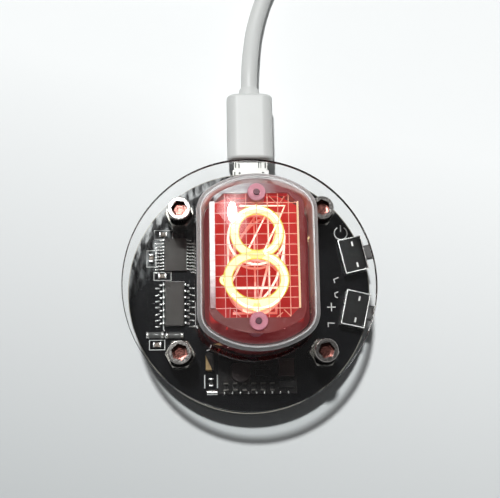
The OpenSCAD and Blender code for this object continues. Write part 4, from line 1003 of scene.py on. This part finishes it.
for key in ("power", "plus"):
    piece = dressed(f"{key}_button", f"{key}Button", 0.08)
    install(piece, "button", [f"{key}_button"], f"{key}_key")
for node, finish in [("switch_contacts", "shellMetal"), ("usb_socket_tongue", "darkChip"),
                     ("micro_plug_insert", "darkChip"), ("large_plug_tongue", "plugWhite")]:
    paintNode(node, finish)

supplyParts = [(-4.9 + 1.8 * i, -19.5, 0.88, 1.6, 8.9, 9.48) for i in range(6)]
chipParts = [  # middle, size along x and y, height of foot and top
    (-17.0, 10.9, 1.6, 0.88, 8.1, 8.98), (-19.4, 6.1, 0.88, 1.6, 8.1, 8.98), (-17.2, 2.5, 1.6, 0.88, 8.1, 8.98),
    (-18.2, -11.1, 1.6, 0.88, 8.1, 8.98), (-7.75, -18.5, 0.88, 1.6, 8.1, 8.68),
]
endCap = {"width": 0.34, "inset": 0.16, "wider": 0.05, "taller": 0.03, "lift": 0.005, "bevel": 0.04}


def makeEndCaps(name, parts, spec):
    caps = []
    for x, y, width, length, foot, top in parts:
        z, tall = (foot + top) / 2 + spec["lift"], top - foot + spec["taller"]
        for side in (-1, 1):
            reach = side * (max(width, length) / 2 - spec["inset"])
            if width > length:
                place, size = (x + reach, y, z), (spec["width"], length + spec["wider"], tall)
            else:
                place, size = (x, y + reach, z), (width + spec["wider"], spec["width"], tall)
            caps.append(addBox("endCap", place, size))
    return flatten(smoothBy(bevelled(joined(name, caps), spec["bevel"]), 40))


install(makeEndCaps("endCaps", chipParts, endCap), "solder")
# the supply parts' end caps take the darkened solder, painted shade
install(makeEndCaps("supplyEndCaps", supplyParts, endCap), "paintedShadeSolder")

leadRows = [  # first lead's place, pitch, number of leads, end of the pad beyond
    (-17.7, 3.28, 0.65, 10, -1.0), (-11.5, 3.28, 0.65, 10, 0.9),
    (-17.6, -7.51, 1.27, 7, -1.0), (-12.0, -7.51, 1.27, 7, 1.15),
]
joint = {"size": (0.36, 0.17, 0.2), "cut": -0.3, "lift": 0.04, "shift": 0.25}


def makeJoints(rows, spec):
    # a fillet of solder over each lead's toe
    deselect()
    bpy.ops.mesh.primitive_uv_sphere_add(segments=10, ring_count=6, radius=1 * mm)
    drop = newest("solderJoint")
    pickFaces(drop, lambda centre, normal: centre.z < spec["cut"])
    bpy.ops.mesh.delete(type="FACE")
    editing(False)
    drop.scale = spec["size"]
    settle(drop)
    smoothBy(drop, 80)
    places = [(x + end * spec["shift"], y + pitch * i, boardTop + spec["lift"], 14 * math.sin(7 * i + x))
              for x, y, pitch, count, end in rows for i in range(count)]
    places += [(-5.2 + 1.55 * i, -20.55, 8.96, 90 + 20 * math.sin(5 * i)) for i in range(9)]
    return joined("solderJoints", copies(drop, places))


install(makeJoints(leadRows, joint), "solder")
padStrokes = [[(x + end * 0.2, y - boardY + pitch * i), (x + end, y - boardY + pitch * i - 0.12 * (i % 3))]
              for x, y, pitch, count, end in leadRows for i in range(count)]
install(ribbons("solderPads", padStrokes, 0.30, boardTop, 0.035), "solder")
install(ribbons("testPad", [[(-8.6, -19.81), (-6.55, -19.81)]], 0.95, boardTop, 0.05), "solder")
print("stage: parts on the board")

slots = [  # middle, width, length, height of the shell's face
    (-2.3, 25.9, 0.22, 1.2, 6.19), (-1.6, 25.75, 0.26, 1.0, 6.19), (-1.5, 24.1, 0.4, 0.5, 6.49),
    (2.45, 25.9, 0.2, 1.3, 6.19), (2.9, 25.9, 0.16, 1.3, 6.19), (3.8, 25.8, 0.3, 1.2, 6.19),
    (-2.5, 24.0, 0.25, 0.8, 6.49), (3.3, 24.2, 0.5, 0.3, 6.49),
]


def makeSlots(places, depth=0.06):
    # folded seams of the socket's shell, drawn as dark slots: painted shade in the gaps
    pieces = []
    for x, y, width, length, z in places:
        piece = addBox("shellSlot", (x, y, z), (width, length, depth))
        pickEdges(piece, lambda a, b: abs(a.z - b.z) > 0.01)
        bevelPicked(width * 0.4)
        pieces.append(piece)
    return smoothBy(joined("shellSlots", pieces), 40)


install(makeSlots(slots), "slotDark")

silkLines = [  # seen from above, from the board's centre
    boxStroke(-16.99, 11.53, 3.6, 1.8), boxStroke(-19.39, 6.69, 1.8, 3.3),
    boxStroke(-17.19, 3.14, 3.4, 1.6), boxStroke(-18.25, -10.47, 3.0, 1.9),
    [(-17.0, 1.9), (-17.0, -7.4), (-16.8, -7.7)], [(-16.6, 2.0), (-12.9, 2.0)],
    arcStroke(18.62, 11.62, 1.3, 1.3, 120, 420, 24), [(18.62, 11.9), (18.62, 13.3)],
    [(15.4, -3.37), (17.1, -3.37)], [(16.26, -4.2), (16.26, -2.5)],
    [(17.9, 2.6), (16.9, 2.2), (17.1, 1.5)], [(17.7, -0.3), (17.0, -0.6), (17.1, -1.3), (17.6, -1.5)],
    [(16.8, -6.6), (15.5, -6.5), (15.5, -7.3)],
    [(-9.0, -16.4), (-9.0, -19.0)], [(-6.55, -16.4), (-6.55, -19.0)],
    [(-6.1, -17.4), (-6.1, -18.9), (-5.6, -18.9)],
    [(-17.0, -8.2), (-16.6, -9.0)],
    [(-10.75, -2.0), (-10.75, -6.6), (-10.2, -7.3), (-9.8, -8.1), (-9.35, -8.4), (-8.8, -9.7), (-7.9, -10.4),
     (-7.1, -11.3), (-8.6, -11.7)],
]
install(ribbons("printedLines", silkLines, 0.2, boardTop, 0.03), "silk")
print("stage: print")

smallPlug = {
    "centre": (0.8, 34.0, 5.275), "size": (9.5, 14.0, 6.4), "corner": 2.3, "edge": 0.7,
    "collarRadius": 2.4, "collarEnd": 1.95, "collarLength": 1.9,
}


def makeGrip(name, spec):
    x, y, z = spec["centre"]
    grip = addBox(name, spec["centre"], spec["size"])
    half = spec["size"][1] / 2
    pickEdges(grip, lambda a, b: abs(a.y - b.y) > 1)
    bevelPicked(spec["corner"], 8)
    pickEdges(grip, lambda a, b: abs(a.y - b.y) < 0.01 and abs(abs(a.y - y) - half) < 0.01)
    bevelPicked(spec["edge"], 4)
    deselect()
    bpy.ops.mesh.primitive_cone_add(
        vertices=40, radius1=spec["collarRadius"] * mm, radius2=spec["collarEnd"] * mm, depth=spec["collarLength"] * mm,
        location=Vector((x, y + half + spec["collarLength"] / 2, z)) * mm, rotation=(-math.pi / 2, 0, 0))
    collar = bevelled(settle(newest("gripCollar")), 0.3, 3)
    return flatten(smoothBy(joined(name, [grip, collar]), 40))


install(makeGrip("smallPlugGrip", smallPlug), "lead", ["micro_plug_grip"])
install(dressed("large_plug_grip", "largePlugGrip", 0.3, 3), "lead", ["large_plug_grip"])

install(powerLead, "lead", ["cord_lead", "cord_coil", "cord_tail"])
print("stage: plug and lead")

studio = {
    "floorSize": 4.0, "floorTone": 0.78, "toneNorth": 0.0043, "toneEast": 0.0011, "toneEnds": (0.5, 0.96),
    "floorDark": (0.48, 0.50, 0.505), "floorPale": (0.955, 0.965, 0.965), "sunColour": (0.985, 1.0, 1.0),
    "sun": 3.0, "sunTowards": (-0.116, 0.326, 1.0), "sunAngle": 3.2, "sky": 0.08, "skyColour": (0.96, 0.98, 1.0),
    "throughGlass": 0.7, "wall": 0.85, "ceiling": 0.08, "ceilingFrom": 0.75,
    "glare": 5, "glareReach": 7.5, "glareMiddle": 1.5, "pale": (0.86, 0.88, 0.885),
}


def makeFloor(spec):
    deselect()
    bpy.ops.mesh.primitive_plane_add(size=spec["floorSize"])
    floor = newest("paperFloor")
    finish = Finish("paperFloor", (0.8, 0.8, 0.8), roughness=0.7)
    # painted light: the paper is paler to the north and east, a painted fall-off of the lamp's light across the floor
    tone = finish.axis("Y") * spec["toneNorth"] + finish.axis("X") * spec["toneEast"] + spec["floorTone"]
    finish.feed("Base Color", finish.blend(tone.ramp(*spec["toneEnds"]), spec["floorDark"], spec["floorPale"]))
    finish.relief(finish.noise(1.2), 0.004, 0.4)
    floor.data.materials.append(finish.material)


def makeLight(spec):
    data = bpy.data.lights.new("keyLight", "SUN")
    data.energy = spec["sun"]
    data.angle = math.radians(spec["sunAngle"])
    data.color = spec["sunColour"]
    lamp = linked("keyLight", data)
    lamp.rotation_mode = "QUATERNION"
    lamp.rotation_quaternion = Vector(spec["sunTowards"]).to_track_quat("Z", "Y")


def makeSky(spec):
    world = bpy.data.worlds.new("studioSky")
    bpy.context.scene.world = world
    world.use_nodes = True
    world.node_tree.nodes.remove(world.node_tree.nodes["Background"])
    sky = Nodes(world.node_tree, "World Output")
    way = sky.make("ShaderNodeTexCoord", {}, {}, "Generated")
    height = sky.make("ShaderNodeSeparateXYZ", {}, {"Vector": way}, "Z")
    toSun = tuple(Vector(spec["sunTowards"]).normalized())
    facing = sky.make("ShaderNodeVectorMath", {"operation": "DOT_PRODUCT"}, {0: way, 1: toSun}, "Value")
    glare = facing.ramp(*(math.cos(math.radians(spec[key])) for key in ("glareReach", "glareMiddle")))
    rise = (height / spec["ceilingFrom"]).clamped()
    tone = spec["wall"] + rise * (spec["ceiling"] - spec["wall"]) + glare * glare * spec["glare"]
    grey = sky.make("ShaderNodeCombineXYZ", {}, {0: tone, 1: tone, 2: tone})
    seen = sky.make("ShaderNodeBackground", {}, {"Color": grey})
    soft = sky.make("ShaderNodeBackground", {}, {"Color": (*spec["skyColour"], 1), "Strength": spec["sky"]})
    plain = sky.make("ShaderNodeBackground", {}, {"Color": (*spec["pale"], 1)})
    # only what the camera sees in or through a piece, so that no surface is lit by it
    first = sky.lightPath("Diffuse Depth").below(0.5)
    mirrored = sky.lightPath("Is Glossy Ray").higher(sky.lightPath("Is Transmission Ray") * spec["throughGlass"])
    sky.show(sky.mixed(sky.lightPath("Is Camera Ray"), sky.mixed(mirrored * first, soft, seen), plain))


makeFloor(studio)
makeLight(studio)
makeSky(studio)
bpy.context.scene.view_settings.view_transform = "Standard"
print("stage: floor and light")

deselect()
